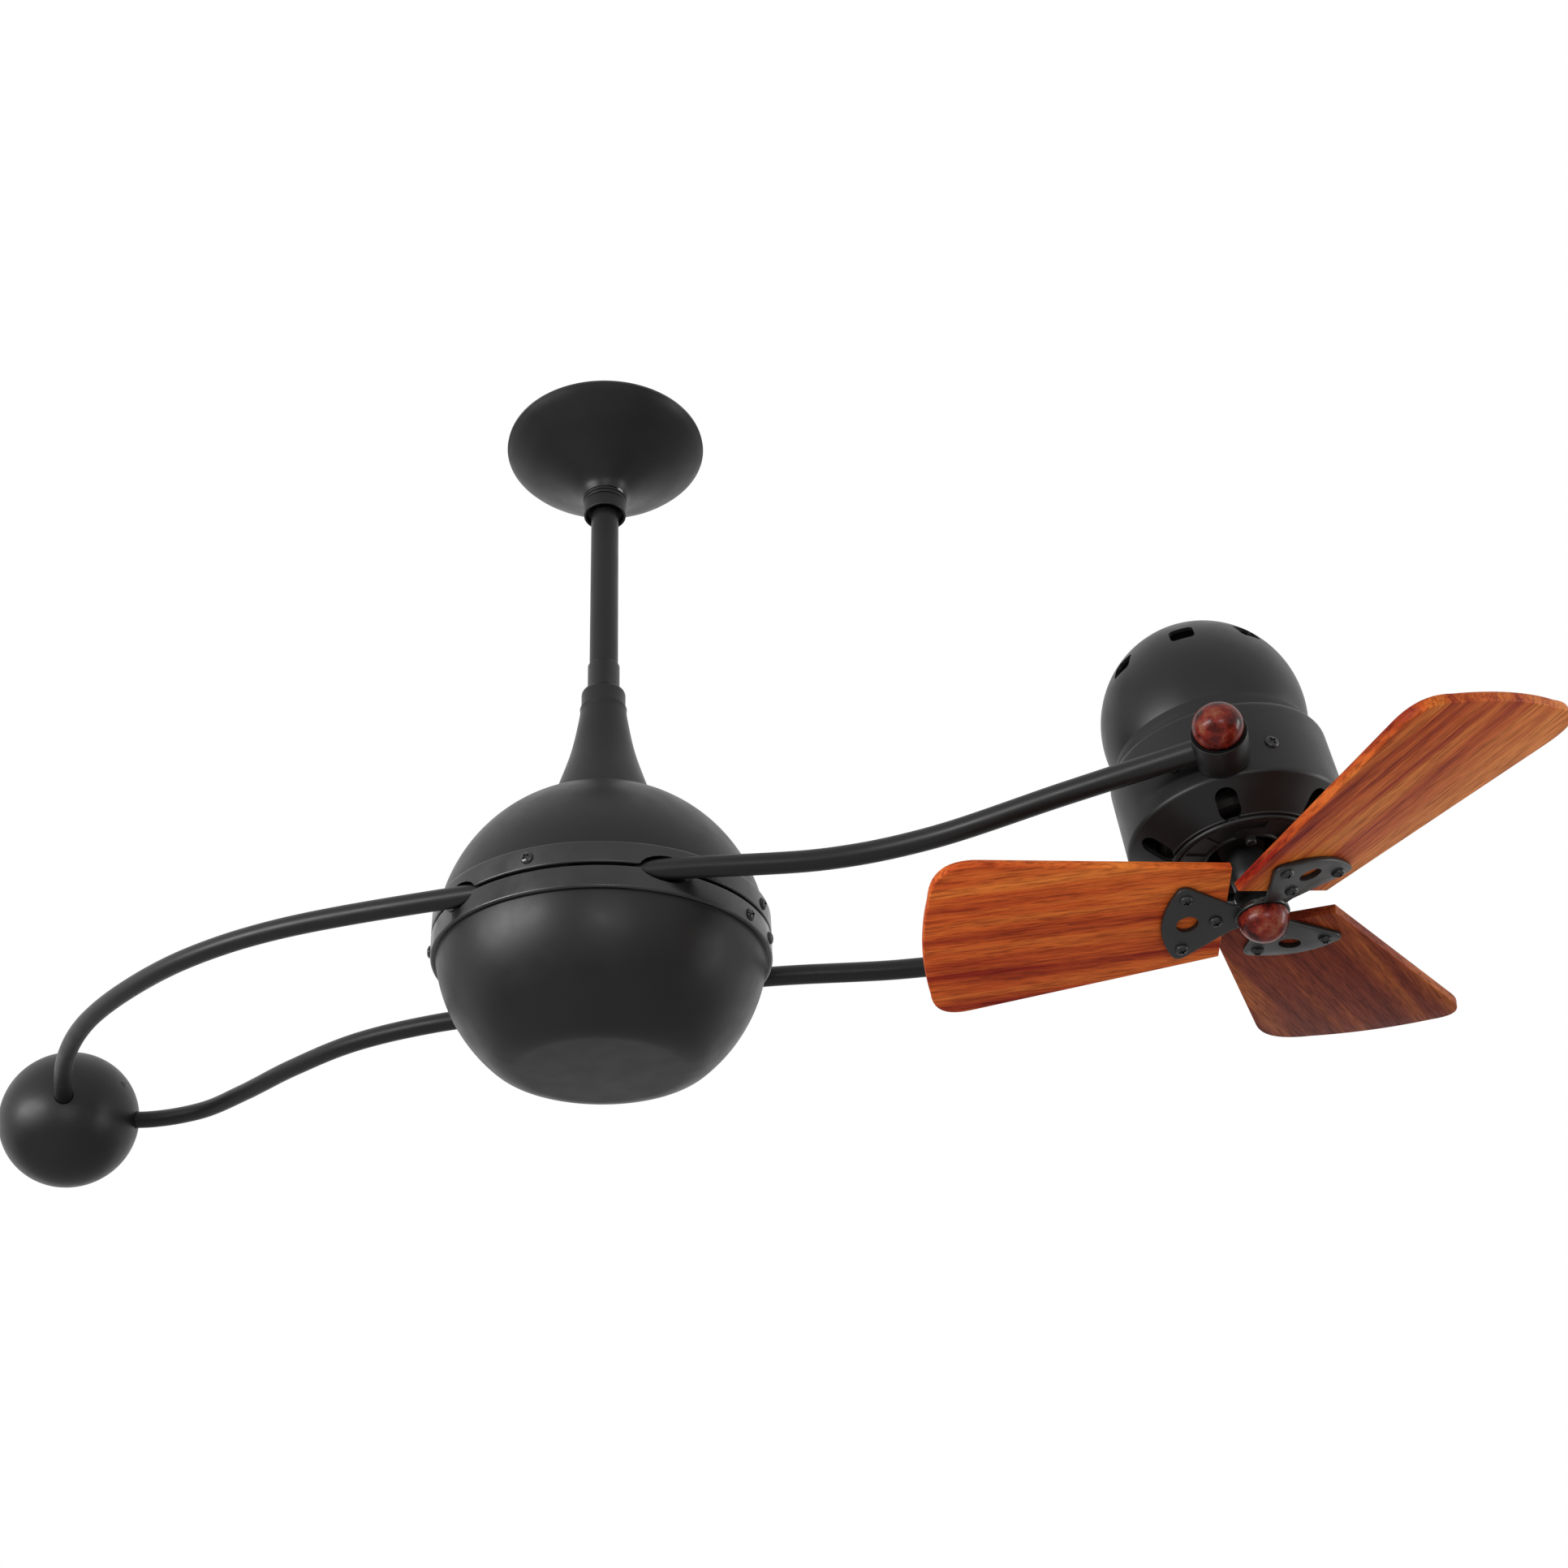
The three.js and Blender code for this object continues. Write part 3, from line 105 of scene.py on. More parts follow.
def tidy(bm):
    """Merges doubles, drops edges without faces and turns every face outwards."""
    bmesh.ops.remove_doubles(bm, verts=bm.verts, dist=1e-6)
    bmesh.ops.dissolve_degenerate(bm, edges=bm.edges, dist=1e-7)
    loose = [e for e in bm.edges if not e.link_faces]
    bmesh.ops.delete(bm, geom=loose, context="EDGES")
    bmesh.ops.recalc_face_normals(bm, faces=bm.faces)


def finished(name, bm, body, slot, material, *nodes):
    """Turns a bmesh into a piece of the object that rides on a body."""
    for face in bm.faces:
        face.smooth = True
    for edge in bm.edges:
        if len(edge.link_faces) == 2 and edge.calc_face_angle(0) > SHARP_ANGLE:
            edge.smooth = False
    mesh = bpy.data.meshes.new(name)
    bm.to_mesh(mesh)
    bm.free()
    mesh.materials.append(material)
    piece = bpy.data.objects.new(name, mesh)
    bpy.context.scene.collection.objects.link(piece)
    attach(piece, body)
    if nodes:
        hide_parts(*nodes)
    return piece


def new_material(name):
    """An empty node material: its tree, its shader and its object coordinates."""
    material = bpy.data.materials.new(name)
    material.use_nodes = True
    tree = material.node_tree
    tree.nodes.clear()
    out = tree.nodes.new("ShaderNodeOutputMaterial")
    shader = tree.nodes.new("ShaderNodeBsdfPrincipled")
    tree.links.new(shader.outputs["BSDF"], out.inputs["Surface"])
    place = tree.nodes.new("ShaderNodeTexCoord").outputs["Object"]
    return material, tree, shader, place


def noise(tree, place, scale, detail=3.0, roughness=0.5):
    node = tree.nodes.new("ShaderNodeTexNoise")
    node.inputs["Scale"].default_value = scale
    node.inputs["Detail"].default_value = detail
    node.inputs["Roughness"].default_value = roughness
    tree.links.new(place, node.inputs["Vector"])
    return node.outputs["Fac"]


def ramp(tree, value, stops):
    """A colour ramp; every stop is its position and a linear colour."""
    node = tree.nodes.new("ShaderNodeValToRGB")
    elements = node.color_ramp.elements
    while len(elements) < len(stops):
        elements.new(0.5)
    for element, (position, colour) in zip(elements, stops):
        element.position = position
        element.color = (*colour, 1)
    tree.links.new(value, node.inputs["Fac"])
    return node.outputs["Color"]


def spread(tree, value, low, high):
    """Brings the usual swing of a noise between two numbers."""
    node = tree.nodes.new("ShaderNodeMapRange")
    node.inputs["From Min"].default_value = 0.3
    node.inputs["From Max"].default_value = 0.7
    node.inputs["To Min"].default_value = low
    node.inputs["To Max"].default_value = high
    tree.links.new(value, node.inputs["Value"])
    return node.outputs["Result"]


def bump(tree, shader, value, distance, strength):
    node = tree.nodes.new("ShaderNodeBump")
    node.inputs["Distance"].default_value = distance
    node.inputs["Strength"].default_value = strength
    tree.links.new(value, node.inputs["Height"])
    tree.links.new(node.outputs["Normal"], shader.inputs["Normal"])


def coated(name, dark, light, matt, gloss, grain=2200, level=0.3):
    """A painted or moulded black finish: faint clouding, and a fine even grain."""
    material, tree, shader, place = new_material(name)
    clouds = noise(tree, place, 14)
    tree.links.new(ramp(tree, clouds, [(0.3, dark), (0.7, light)]), shader.inputs["Base Color"])
    tree.links.new(spread(tree, noise(tree, place, 60), gloss, matt), shader.inputs["Roughness"])
    shader.inputs["Specular IOR Level"].default_value = level
    bump(tree, shader, noise(tree, place, grain, 1), 0.00006, 0.35)
    return material


powder_coat = coated(
    "satin_black_powder_coat", (0.0055,) * 3, (0.0075,) * 3, 0.44, 0.36, level=0.27,
)
# The flare's reach and drop at the points of its flank, as shares of the whole.
FLARE = ((0.91, 0.12), (0.72, 0.3), (0.46, 0.5), (0.22, 0.7), (0.06, 0.87))
drop = CANOPY_DEPTH - CANOPY_LIP
reach = CANOPY_RADIUS - CANOPY_NECK
flank = [(CANOPY_NECK + reach * out, -CANOPY_LIP - drop * down) for out, down in FLARE]
outside = smooth_line(
    [(CANOPY_RADIUS, -CANOPY_LIP), *flank, (CANOPY_NECK, -CANOPY_DEPTH)]
)
skin = CANOPY_WALL * 0.7
inside = [(r - skin, z + skin) for r, z in reversed(outside)]
lip = [(CANOPY_RADIUS - CANOPY_WALL, -CEILING_GAP), (CANOPY_RADIUS - 0.3, -CEILING_GAP)]
finished(
    "canopy_dish", turned(outside + inside + lip), "hanger", "powder_coat",
    powder_coat, "canopy",
)

# ---------------------------------------------------------------- canopy collar
# Two small turned rings below the canopy, coated like it. The upper one has a polished
# lip; the hollow lower one is drawn up against it and locked on the rod by a grub screw.
RING_RADIUS = 16
RING_BORE = 11.6
RING_LIP = 1.2
RING_TOP = -50.3
RING_FOOT = -55.3
COLLAR_RADIUS = 16.4
COLLAR_BORE = 10.9
COLLAR_FOOT = -67.6
ring_profile = [
    (RING_BORE, RING_TOP), (RING_RADIUS - 0.2, RING_TOP),
    *arc(RING_RADIUS, RING_TOP - RING_LIP, RING_LIP, RING_LIP, 90, -90, 8),
    (RING_RADIUS, RING_FOOT + 2), (RING_RADIUS + 0.6, RING_FOOT + 1.4),
    (RING_RADIUS + 0.2, RING_FOOT), (RING_BORE, RING_FOOT),
]
finished(
    "canopy_ring_lip", turned(ring_profile), "hanger", "powder_coat",
    powder_coat, "canopy_ring",
)
collar_profile = [
    (COLLAR_BORE, RING_FOOT - 0.3), (COLLAR_BORE, COLLAR_FOOT + 7),
    (12.5, COLLAR_FOOT + 6.4), (14.2, COLLAR_FOOT + 4.8), (14.6, COLLAR_FOOT + 0.8),
    *arc(COLLAR_RADIUS - 0.9, COLLAR_FOOT + 0.9, 0.9, 0.9, -150, 0, 6),
    (COLLAR_RADIUS + 0.3, RING_FOOT - 1.6),
    *arc(COLLAR_RADIUS - 1, RING_FOOT - 1.5, 1.2, 1.2, 0, 90, 5),
]
finished(
    "canopy_lock_collar", turned(collar_profile), "hanger", "powder_coat",
    powder_coat, "canopy_collar",
)

# ---------------------------------------------------------------- downrod
# Steel tube, coated like the canopy, between the hanger ball and the coupling yoke.
ROD_RADIUS = 10.6
ROD_BORE = 8
rod_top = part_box("downrod")[1].z / MM
rod_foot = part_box("downrod")[0].z / MM
rod_profile = [
    (ROD_BORE, rod_top), (ROD_RADIUS, rod_top), (ROD_RADIUS, rod_foot), (ROD_BORE, rod_foot),
]
finished("downrod_tube", turned(rod_profile), "hanger", "powder_coat", powder_coat, "downrod")

# ---------------------------------------------------------------- coupling yoke
# Turned socket that takes the foot of the rod, cross pinned, above a stepped boss.
# Only its upper end shows, as the slightly wider part of the rod above the neck.
BALL_LEVEL = -440
SOCKET_TOP = BALL_LEVEL + 230
SOCKET_RADIUS = 11.8
SOCKET_BORE = 10.9
SOCKET_FLOOR = BALL_LEVEL + 149.7
BOSS_TOP = BALL_LEVEL + 176
BOSS_RADIUS = 14.3
BOSS_BORE = 9.3
BOSS_FOOT = BALL_LEVEL + 120
yoke_profile = [
    (SOCKET_BORE, SOCKET_TOP - 0.6), (SOCKET_RADIUS - 0.5, SOCKET_TOP),
    (SOCKET_RADIUS, SOCKET_TOP - 0.8), (SOCKET_RADIUS, BOSS_TOP + 4),
    (BOSS_RADIUS, BOSS_TOP), (BOSS_RADIUS, BOSS_FOOT),
    (BOSS_BORE, BOSS_FOOT), (BOSS_BORE, SOCKET_FLOOR), (SOCKET_BORE, SOCKET_FLOOR),
]
finished(
    "coupling_socket", turned(yoke_profile), "hanger", "black_steel",
    powder_coat, "coupling_yoke",
)

# ---------------------------------------------------------------- neck
# Spun cone that stands on the ball and turns with it, closed at the top by a turned
# collar with a rounded shoulder that runs clear of the socket. Both are coated.
BALL_RADIUS = 113
NECK_TOP = BALL_LEVEL + 191
CONE_FOOT_RADIUS = 37.6
CONE_TOP_RADIUS = 17.2
CONE_WALL = 1.8
FOOT_BEAD = 1.8
cone_foot = BALL_LEVEL + math.sqrt(BALL_RADIUS**2 - CONE_FOOT_RADIUS**2) + 0.3
cone_line = smooth_line([
    (CONE_FOOT_RADIUS + FOOT_BEAD, cone_foot - 1.1), (CONE_FOOT_RADIUS, cone_foot + 0.6),
    (35, cone_foot + 8), (23.7, cone_foot + 44),
    (CONE_TOP_RADIUS + 0.4, NECK_TOP - 8), (CONE_TOP_RADIUS, NECK_TOP),
])
cone_inner = [(r - CONE_WALL, z) for r, z in reversed(cone_line[6:])]
finished(
    "neck_cone_shell", turned(cone_line + cone_inner), "arm", "powder_coat",
    powder_coat, "neck_cone",
)
NECK_COLLAR_RADIUS = 16.2
NECK_COLLAR_BORE = 12.6
NECK_COLLAR_HEIGHT = 16
SHOULDER = 4
shoulder_foot = NECK_TOP + NECK_COLLAR_HEIGHT - SHOULDER
neck_collar_profile = [
    (NECK_COLLAR_BORE, NECK_TOP + 0.3), (NECK_COLLAR_RADIUS, NECK_TOP + 0.3),
    (NECK_COLLAR_RADIUS + 0.2, NECK_TOP + 0.9), (NECK_COLLAR_RADIUS, NECK_TOP + 1.6),
    (NECK_COLLAR_RADIUS, shoulder_foot),
    *arc(NECK_COLLAR_RADIUS - 3.8, shoulder_foot, 3.8, SHOULDER, 0, 80, 8),
    (NECK_COLLAR_BORE, NECK_TOP + NECK_COLLAR_HEIGHT),
]
finished(
    "neck_top_collar", turned(neck_collar_profile), "arm", "powder_coat",
    powder_coat, "neck_collar",
)

# ---------------------------------------------------------------- tube paths
# The two arms are steel tubes bent to long S curves in one plane, from the counterweight
# past the front and the back of the downrod to the two ends of the head's pivot.
BALL_CENTRE = Vector((0, 0, BALL_LEVEL * MM))
HEAD_AT = Vector((405.4, 77.7, -3.6))
HEAD_TURN = Euler([math.radians(a) for a in (-4.6, -5.2, 15.9)], "XYZ").to_matrix()
frontward = HEAD_TURN @ Vector((0, -1, 0))
WEIGHT_REACH = 568
WEIGHT_RADIUS = 57.3
WEIGHT_AT = Vector((-WEIGHT_REACH, 0, 0))
WEIGHT_GRIP = 28
WEIGHT_LEAD = 12
TUBE_RADIUS = 7
FRONT_STATION = 75.5
REAR_STATION = 71.2
KNUCKLE_SEAT = 8.2
front_end = HEAD_AT + frontward * FRONT_STATION
rear_end = HEAD_AT - frontward * REAR_STATION


def weight_points(bearing):
    """The end of a tube inside the counterweight, and the end of its straight lead."""
    outward = Vector((math.cos(math.radians(bearing)), math.sin(math.radians(bearing)), 0))
    return [
        WEIGHT_AT + outward * (WEIGHT_RADIUS - WEIGHT_GRIP),
        WEIGHT_AT + outward * (WEIGHT_RADIUS + WEIGHT_LEAD),
    ]


def bent(points, steps=14):
    """Centripetal curve through the bend points, as close points from end to end, in mm."""
    ends = [points[0] * 2 - points[1]] + points + [points[-1] * 2 - points[-2]]
    line = []
    for p in zip(ends, ends[1:], ends[2:], ends[3:]):
        t = [0.0]
        for a, b in zip(p, p[1:]):
            t.append(t[-1] + math.sqrt((b - a).length))
        for i in range(steps):
            u = t[1] + (t[2] - t[1]) * i / steps
            near = [
                a.lerp(b, (u - t[j]) / (t[j + 1] - t[j])) for j, (a, b) in enumerate(zip(p, p[1:]))
            ]
            far = [
                a.lerp(b, (u - t[j]) / (t[j + 2] - t[j]))
                for j, (a, b) in enumerate(zip(near, near[1:]))
            ]
            line.append(far[0].lerp(far[1], (u - t[1]) / (t[2] - t[1])))
    line.append(points[-1])
    return line


front_path = bent(weight_points(-42) + [
    Vector((-453, -92, 0)), Vector((-388, -124, 0)), Vector((-315, -144, 0)),
    Vector((-240, -153, 0)), Vector((-160, -147, 0)), Vector((-34, -111, 0)),
    Vector((91, -64, 0)), Vector((186, -13, 0)), Vector((246, 1, 0)),
    Vector((front_end.x - 90, front_end.y - 2.5, front_end.z / 2)),
    Vector((front_end.x - KNUCKLE_SEAT, front_end.y, front_end.z)),
])
rear_path = bent(weight_points(36) + [
    Vector((-462, 52, 0)), Vector((-403, 45, 0)), Vector((-331, 31, 0)),
    Vector((-252, 23, 0)), Vector((-178, 33, 0)), Vector((-97, 61, 0)),
    Vector((50, 104, 0)), Vector((150, 157, 0)), Vector((222, 177, rear_end.z * 0.2)),
    Vector((280, 165, rear_end.z * 0.5)),
    Vector((rear_end.x - 58, rear_end.y + 3, rear_end.z * 0.85)),
    Vector((rear_end.x - KNUCKLE_SEAT, rear_end.y, rear_end.z)),
])


def tube_mesh(name, line, radius, resolution=6):
    """A round bar along a path, as a mesh in its place, from a curve with a round bevel."""
    curve = bpy.data.curves.new(name, "CURVE")
    curve.dimensions = "3D"
    curve.bevel_depth = radius * MM
    curve.bevel_resolution = resolution
    curve.use_fill_caps = True
    spline = curve.splines.new("POLY")
    spline.points.add(len(line) - 1)
    for point, place in zip(spline.points, line):
        point.co = (*(place * MM + BALL_CENTRE), 1)
    holder = bpy.data.objects.new(name, curve)
    bpy.context.scene.collection.objects.link(holder)
    bpy.context.view_layer.update()
    mesh = bpy.data.meshes.new_from_object(holder)
    bpy.data.objects.remove(holder)
    bpy.data.curves.remove(curve)
    bm = bmesh.new()
    bm.from_mesh(mesh)
    bpy.data.meshes.remove(mesh)
    tidy(bm)
    return bm


finished(
    "front_arm_tube", tube_mesh("front_arm", front_path, TUBE_RADIUS), "arm",
    "powder_coat", powder_coat, "front_tube",
)
finished(
    "rear_arm_tube", tube_mesh("rear_arm", rear_path, TUBE_RADIUS), "arm",
    "powder_coat", powder_coat, "rear_tube",
)

# ---------------------------------------------------------------- housing ball
# Two spun half shells, coated, that meet behind a pair of bands. The tubes pass through
# four holes which are half in the upper and half in the lower shell.
SKIRT_RADIUS = 112.2
BAND_TOP = 16.5
HOLE_GAP = 2.2
# The points of a path before this one lie on the counterweight's side of the ball.
WEIGHT_SIDE = 60


def loose_piece(bm, name="cutter"):
    mesh = bpy.data.meshes.new(name)
    bm.to_mesh(mesh)
    bm.free()
    thing = bpy.data.objects.new(name, mesh)
    bpy.context.scene.collection.objects.link(thing)
    return thing


def cut(bm, cutters):
    """The bmesh with every cutter taken out of it."""
    blank = loose_piece(bm, "blank")
    tools = [loose_piece(cutter) for cutter in cutters]
    for tool in tools:
        boolean = blank.modifiers.new("cut", "BOOLEAN")
        boolean.operation = "DIFFERENCE"
        boolean.solver = "EXACT"
        boolean.object = tool
    bpy.context.view_layer.update()
    cut_mesh = bpy.data.meshes.new_from_object(
        blank.evaluated_get(bpy.context.evaluated_depsgraph_get())
    )
    rest = bmesh.new()
    rest.from_mesh(cut_mesh)
    bpy.data.meshes.remove(cut_mesh)
    for thing in [blank, *tools]:
        mesh = thing.data
        bpy.data.objects.remove(thing)
        bpy.data.meshes.remove(mesh)
    bmesh.ops.remove_doubles(rest, verts=rest.verts, dist=1e-6)
    bmesh.ops.dissolve_degenerate(rest, edges=rest.edges, dist=1e-7)
    return rest


def tube_holes():
    return [
        tube_mesh("bore", path[WEIGHT_SIDE:], TUBE_RADIUS + HOLE_GAP, 8)
        for path in (front_path, rear_path)
    ]


SHELL_WALL = 2
SHELL_GAP = 1
NECK_OPENING = 29.6
FOOT_DEPTH = 92.5
FOOT_BEND = 32
BAND_ELEVATION = math.degrees(math.asin((BAND_TOP + 0.3) / BALL_RADIUS))


def shell_skin(inset):
    """One side of the lower shell: round from the band down, then bent to a flat foot."""
    ball = BALL_RADIUS - inset
    bend = FOOT_BEND - inset
    depth = FOOT_DEPTH - inset
    bend_at = math.sqrt((ball - bend) ** 2 - (depth - bend) ** 2)
    meet = math.degrees(math.atan2(depth - bend, bend_at))
    line = arc(0, 0, ball, ball, BAND_ELEVATION, meet, 40)
    return line + arc(bend_at, depth - bend, bend, bend, meet, 90, 10)[1:] + [(0, depth)]


def shell(side, line):
    """A half shell, above or below the joint, from the points of its skin."""
    skirt = [(SKIRT_RADIUS, SHELL_GAP), (SKIRT_RADIUS, BAND_TOP)]
    back = [(r - SHELL_WALL, z) for r, z in reversed(skirt)]
    return cut(
        turned([(r, BALL_LEVEL + side * z) for r, z in skirt + line + back], 192), tube_holes(),
    )


opening = math.degrees(math.acos(NECK_OPENING / BALL_RADIUS))
hollow = BALL_RADIUS - SHELL_WALL
upper_line = arc(0, 0, BALL_RADIUS, BALL_RADIUS, BAND_ELEVATION, opening, 44)
upper_line += arc(0, 0, hollow, hollow, opening, BAND_ELEVATION + 1, 24)
lower_line = shell_skin(0) + shell_skin(SHELL_WALL)[::-1]
finished(
    "upper_half_shell", shell(1, upper_line), "arm", "powder_coat", powder_coat, "upper_shell",
)
finished(
    "lower_half_shell", shell(-1, lower_line), "arm", "powder_coat", powder_coat, "lower_shell",
)

# ---------------------------------------------------------------- bands
# Two rolled steel bands with rounded rims cover the joint of the half shells. They stand
# a little proud of the ball, with a dark groove between them, and are screwed on.
BAND_RADIUS = 115.5
BAND_DEPTH = 3
GROOVE = 1
INNER_ROUND = 1.2
OUTER_ROUND = 1.6


def band_profile(side):
    """Section of the upper or the lower band, from the groove to its rounded rim."""
    line = [(BAND_RADIUS - BAND_DEPTH, GROOVE)]
    foot = (BAND_RADIUS - INNER_ROUND, GROOVE + INNER_ROUND)
    line += arc(*foot, INNER_ROUND, INNER_ROUND, -90, 0, 5)
    line += [(BAND_RADIUS - 0.1, BAND_TOP - 4.3)]
    line += arc(BAND_RADIUS - 1.7, BAND_TOP - OUTER_ROUND, OUTER_ROUND, OUTER_ROUND, 0, 90, 6)
    line += [(BAND_RADIUS - BAND_DEPTH, BAND_TOP)]
    return [(r, BALL_LEVEL + side * z) for r, z in line]


band_steel = coated("rolled_black_steel", (0.003,) * 3, (0.018,) * 3, 0.4, 0.18, 1400, 0.5)
for side, name in ((1, "upper"), (-1, "lower")):
    finished(
        name + "_rim_band", cut(turned(band_profile(side), 192), tube_holes()),
        "arm", "black_steel", band_steel, name + "_band",
    )

# ---------------------------------------------------------------- counterweight
# Heavy hollow ball that balances the fan head, coated, with a socket for each tube and
# a grub screw in its flank that locks it.
SOCKET_GAP = 0.6
weight = bmesh.new()
bmesh.ops.create_uvsphere(weight, u_segments=96, v_segments=64, radius=WEIGHT_RADIUS * MM)
bmesh.ops.translate(weight, verts=weight.verts, vec=WEIGHT_AT * MM + BALL_CENTRE)
sockets = [
    tube_mesh("socket", path[:WEIGHT_SIDE], TUBE_RADIUS + SOCKET_GAP, 8)
    for path in (front_path, rear_path)
]
finished(
    "counterweight_ball", cut(weight, sockets), "arm", "powder_coat",
    powder_coat, "counterweight",
)

# ---------------------------------------------------------------- knuckles
# Short coated sleeves that each arm tube is welded into. They hold the pivot pins of the
# fan head, and their outer ends are cupped for the wooden balls.
HEAD_PLACE = Matrix.Translation(HEAD_AT * MM + BALL_CENTRE) @ HEAD_TURN.to_4x4()
KNUCKLE_RADIUS = 15.2
KNUCKLE_BORE = 5.3
KNUCKLE_INNER = 63.2
KNUCKLE_OUTER = 86.5
CUP_STATION = 93
CUP_RADIUS = 14.5
CUP_FLOOR = 79.6


def along_pivot(bm, side):
    """Lays a bmesh made along +Z on the pivot axis, towards the front or the rear."""
    lay = Matrix.Rotation(QUARTER * side, 4, "X")
    bmesh.ops.transform(bm, matrix=HEAD_PLACE @ lay, verts=bm.verts)
    return bm


for side, name in ((1, "front"), (-1, "rear")):
    knuckle_profile = [
        (KNUCKLE_BORE, KNUCKLE_INNER),
        *arc(KNUCKLE_RADIUS - 0.8, KNUCKLE_INNER + 0.8, 0.8, 0.8, -90, 0, 4),
        *arc(KNUCKLE_RADIUS - 0.4, KNUCKLE_OUTER - 0.4, 0.4, 0.4, 0, 110, 4),
        (KNUCKLE_RADIUS - 1, KNUCKLE_OUTER - 0.2),
        *arc(0, CUP_STATION, CUP_RADIUS, CUP_RADIUS, -29, -62, 8), (KNUCKLE_BORE, CUP_FLOOR),
    ]
    finished(
        name + "_pivot_sleeve", along_pivot(turned(knuckle_profile, 96), side), "arm",
        "powder_coat", powder_coat, name + "_knuckle",
    )

# ---------------------------------------------------------------- pivot pins
# Turned steel pins from the drum of the fan head into the two knuckles, with a collar.
bright_steel = coated("ground_steel", (0.36, 0.37, 0.38), (0.48, 0.49, 0.5), 0.36, 0.24, 1600)
bright_steel.node_tree.nodes["Principled BSDF"].inputs["Metallic"].default_value = 1.0
PIN_RADIUS = 5
PIN_TIP = 76
PIN_ROOT = 52
PIN_COLLAR_RADIUS = 8
PIN_COLLAR_END = 56.9
pin_profile = [
    (0, PIN_ROOT), (PIN_COLLAR_RADIUS, PIN_ROOT), (PIN_COLLAR_RADIUS, PIN_COLLAR_END),
    (PIN_RADIUS, PIN_COLLAR_END), (PIN_RADIUS, PIN_TIP - 0.6), (PIN_RADIUS - 0.6, PIN_TIP),
    (0, PIN_TIP),
]
for side, name in ((1, "front"), (-1, "rear")):
    finished(
        name + "_turned_pin", along_pivot(turned(pin_profile, 48), side), "head",
        "bright_steel", bright_steel, name + "_pivot_pin",
    )

# ---------------------------------------------------------------- wooden balls
# Turned burl knobs under a thick clear lacquer, glued into the cupped knuckles.


def burl_wood():
    material, tree, shader, place = new_material("lacquered_burl")
    swirl = noise(tree, place, 95, 6, 0.66)
    eyes = tree.nodes.new("ShaderNodeTexVoronoi")
    eyes.inputs["Scale"].default_value = 190
    tree.links.new(place, eyes.inputs["Vector"])
    mix = tree.nodes.new("ShaderNodeMath")
    mix.operation = "MULTIPLY_ADD"
    tree.links.new(eyes.outputs["Distance"], mix.inputs[0])
    mix.inputs[1].default_value = 0.16
    tree.links.new(swirl, mix.inputs[2])
    colour = ramp(tree, mix.outputs[0], [
        (0.42, (0.014, 0.003, 0.002)), (0.52, (0.07, 0.006, 0.004)),
        (0.62, (0.15, 0.014, 0.008)), (0.76, (0.19, 0.06, 0.03)),
    ])
    tree.links.new(colour, shader.inputs["Base Color"])
    tree.links.new(spread(tree, swirl, 0.24, 0.34), shader.inputs["Roughness"])
    shader.inputs["Specular IOR Level"].default_value = 0.12
    shader.inputs["Coat Weight"].default_value = 0.1
    shader.inputs["Coat Roughness"].default_value = 0.1
    bump(tree, shader, noise(tree, place, 900, 2), 0.0001, 0.1)
    return material


KNOB_RADIUS = 13.5
KNOB_STATION = 91.8
polished_burl = burl_wood()
for side, name in ((1, "front"), (-1, "rear")):
    knob = bmesh.new()
    bmesh.ops.create_uvsphere(knob, u_segments=64, v_segments=40, radius=KNOB_RADIUS * MM)
    bmesh.ops.translate(knob, verts=knob.verts, vec=(0, 0, KNOB_STATION * MM))
    finished(
        name + "_wood_knob", along_pivot(knob, side), "arm", "polished_burl",
        polished_burl, name + "_finial",
    )

# ---------------------------------------------------------------- motor dome
# Deep drawn steel cap over the motor, coated, with a ring of small square vents.
DOME_RADIUS = 59.7
DOME_CENTRE = 69
DOME_RISE = 67.5
DOME_WALL = 2
STEP = 38
VENT_LEVEL = 101
VENT_SIDE = 14
VENT_REACH = 20


def in_head(bm):
    bmesh.ops.transform(bm, matrix=HEAD_PLACE, verts=bm.verts)
    return bm


def rounded_slot(width, height, corner, depth, steps=6):
    """A bar with a rounded rectangular section: width along X, height along Y, mm."""
    bm = bmesh.new()
    bmesh.ops.create_grid(bm, x_segments=1, y_segments=1, size=0.5)
    bmesh.ops.scale(bm, vec=(width * MM, height * MM, 1), verts=bm.verts)
    bmesh.ops.bevel(
        bm, geom=list(bm.verts), offset=corner * MM, offset_type="OFFSET",
        segments=steps, profile=0.5, affect="VERTICES", material=-1, clamp_overlap=True,
    )
    push = bmesh.ops.extrude_face_region(bm, geom=list(bm.faces))
    raised = [g for g in push["geom"] if isinstance(g, bmesh.types.BMVert)]
    bmesh.ops.translate(bm, verts=raised, vec=(0, 0, depth * MM))
    bmesh.ops.recalc_face_normals(bm, faces=bm.faces)
    return bm


def placed(bm, matrix):
    bmesh.ops.transform(bm, matrix=matrix, verts=bm.verts)
    return bm


def outward_slots(count, start, radius, height, slope, make):
    """Cutters that point outwards and up or down by a slope, spaced round the motor axis."""
    slots = []
    for i in range(count):
        turn = Matrix.Rotation(start + i * 2 * math.pi / count, 4, "Z")
        shift = Matrix.Translation((radius * MM, 0, height * MM))
        aim = Matrix.Rotation(QUARTER - slope, 4, "Y") @ Matrix.Rotation(QUARTER, 4, "Z")
        slots.append(placed(make(), turn @ shift @ aim))
    return slots


def joined(parts):
    """Several bmeshes as one."""
    whole = bmesh.new()
    for part in parts:
        mesh = bpy.data.meshes.new("part")
        part.to_mesh(mesh)
        part.free()
        whole.from_mesh(mesh)
        bpy.data.meshes.remove(mesh)
    return whole


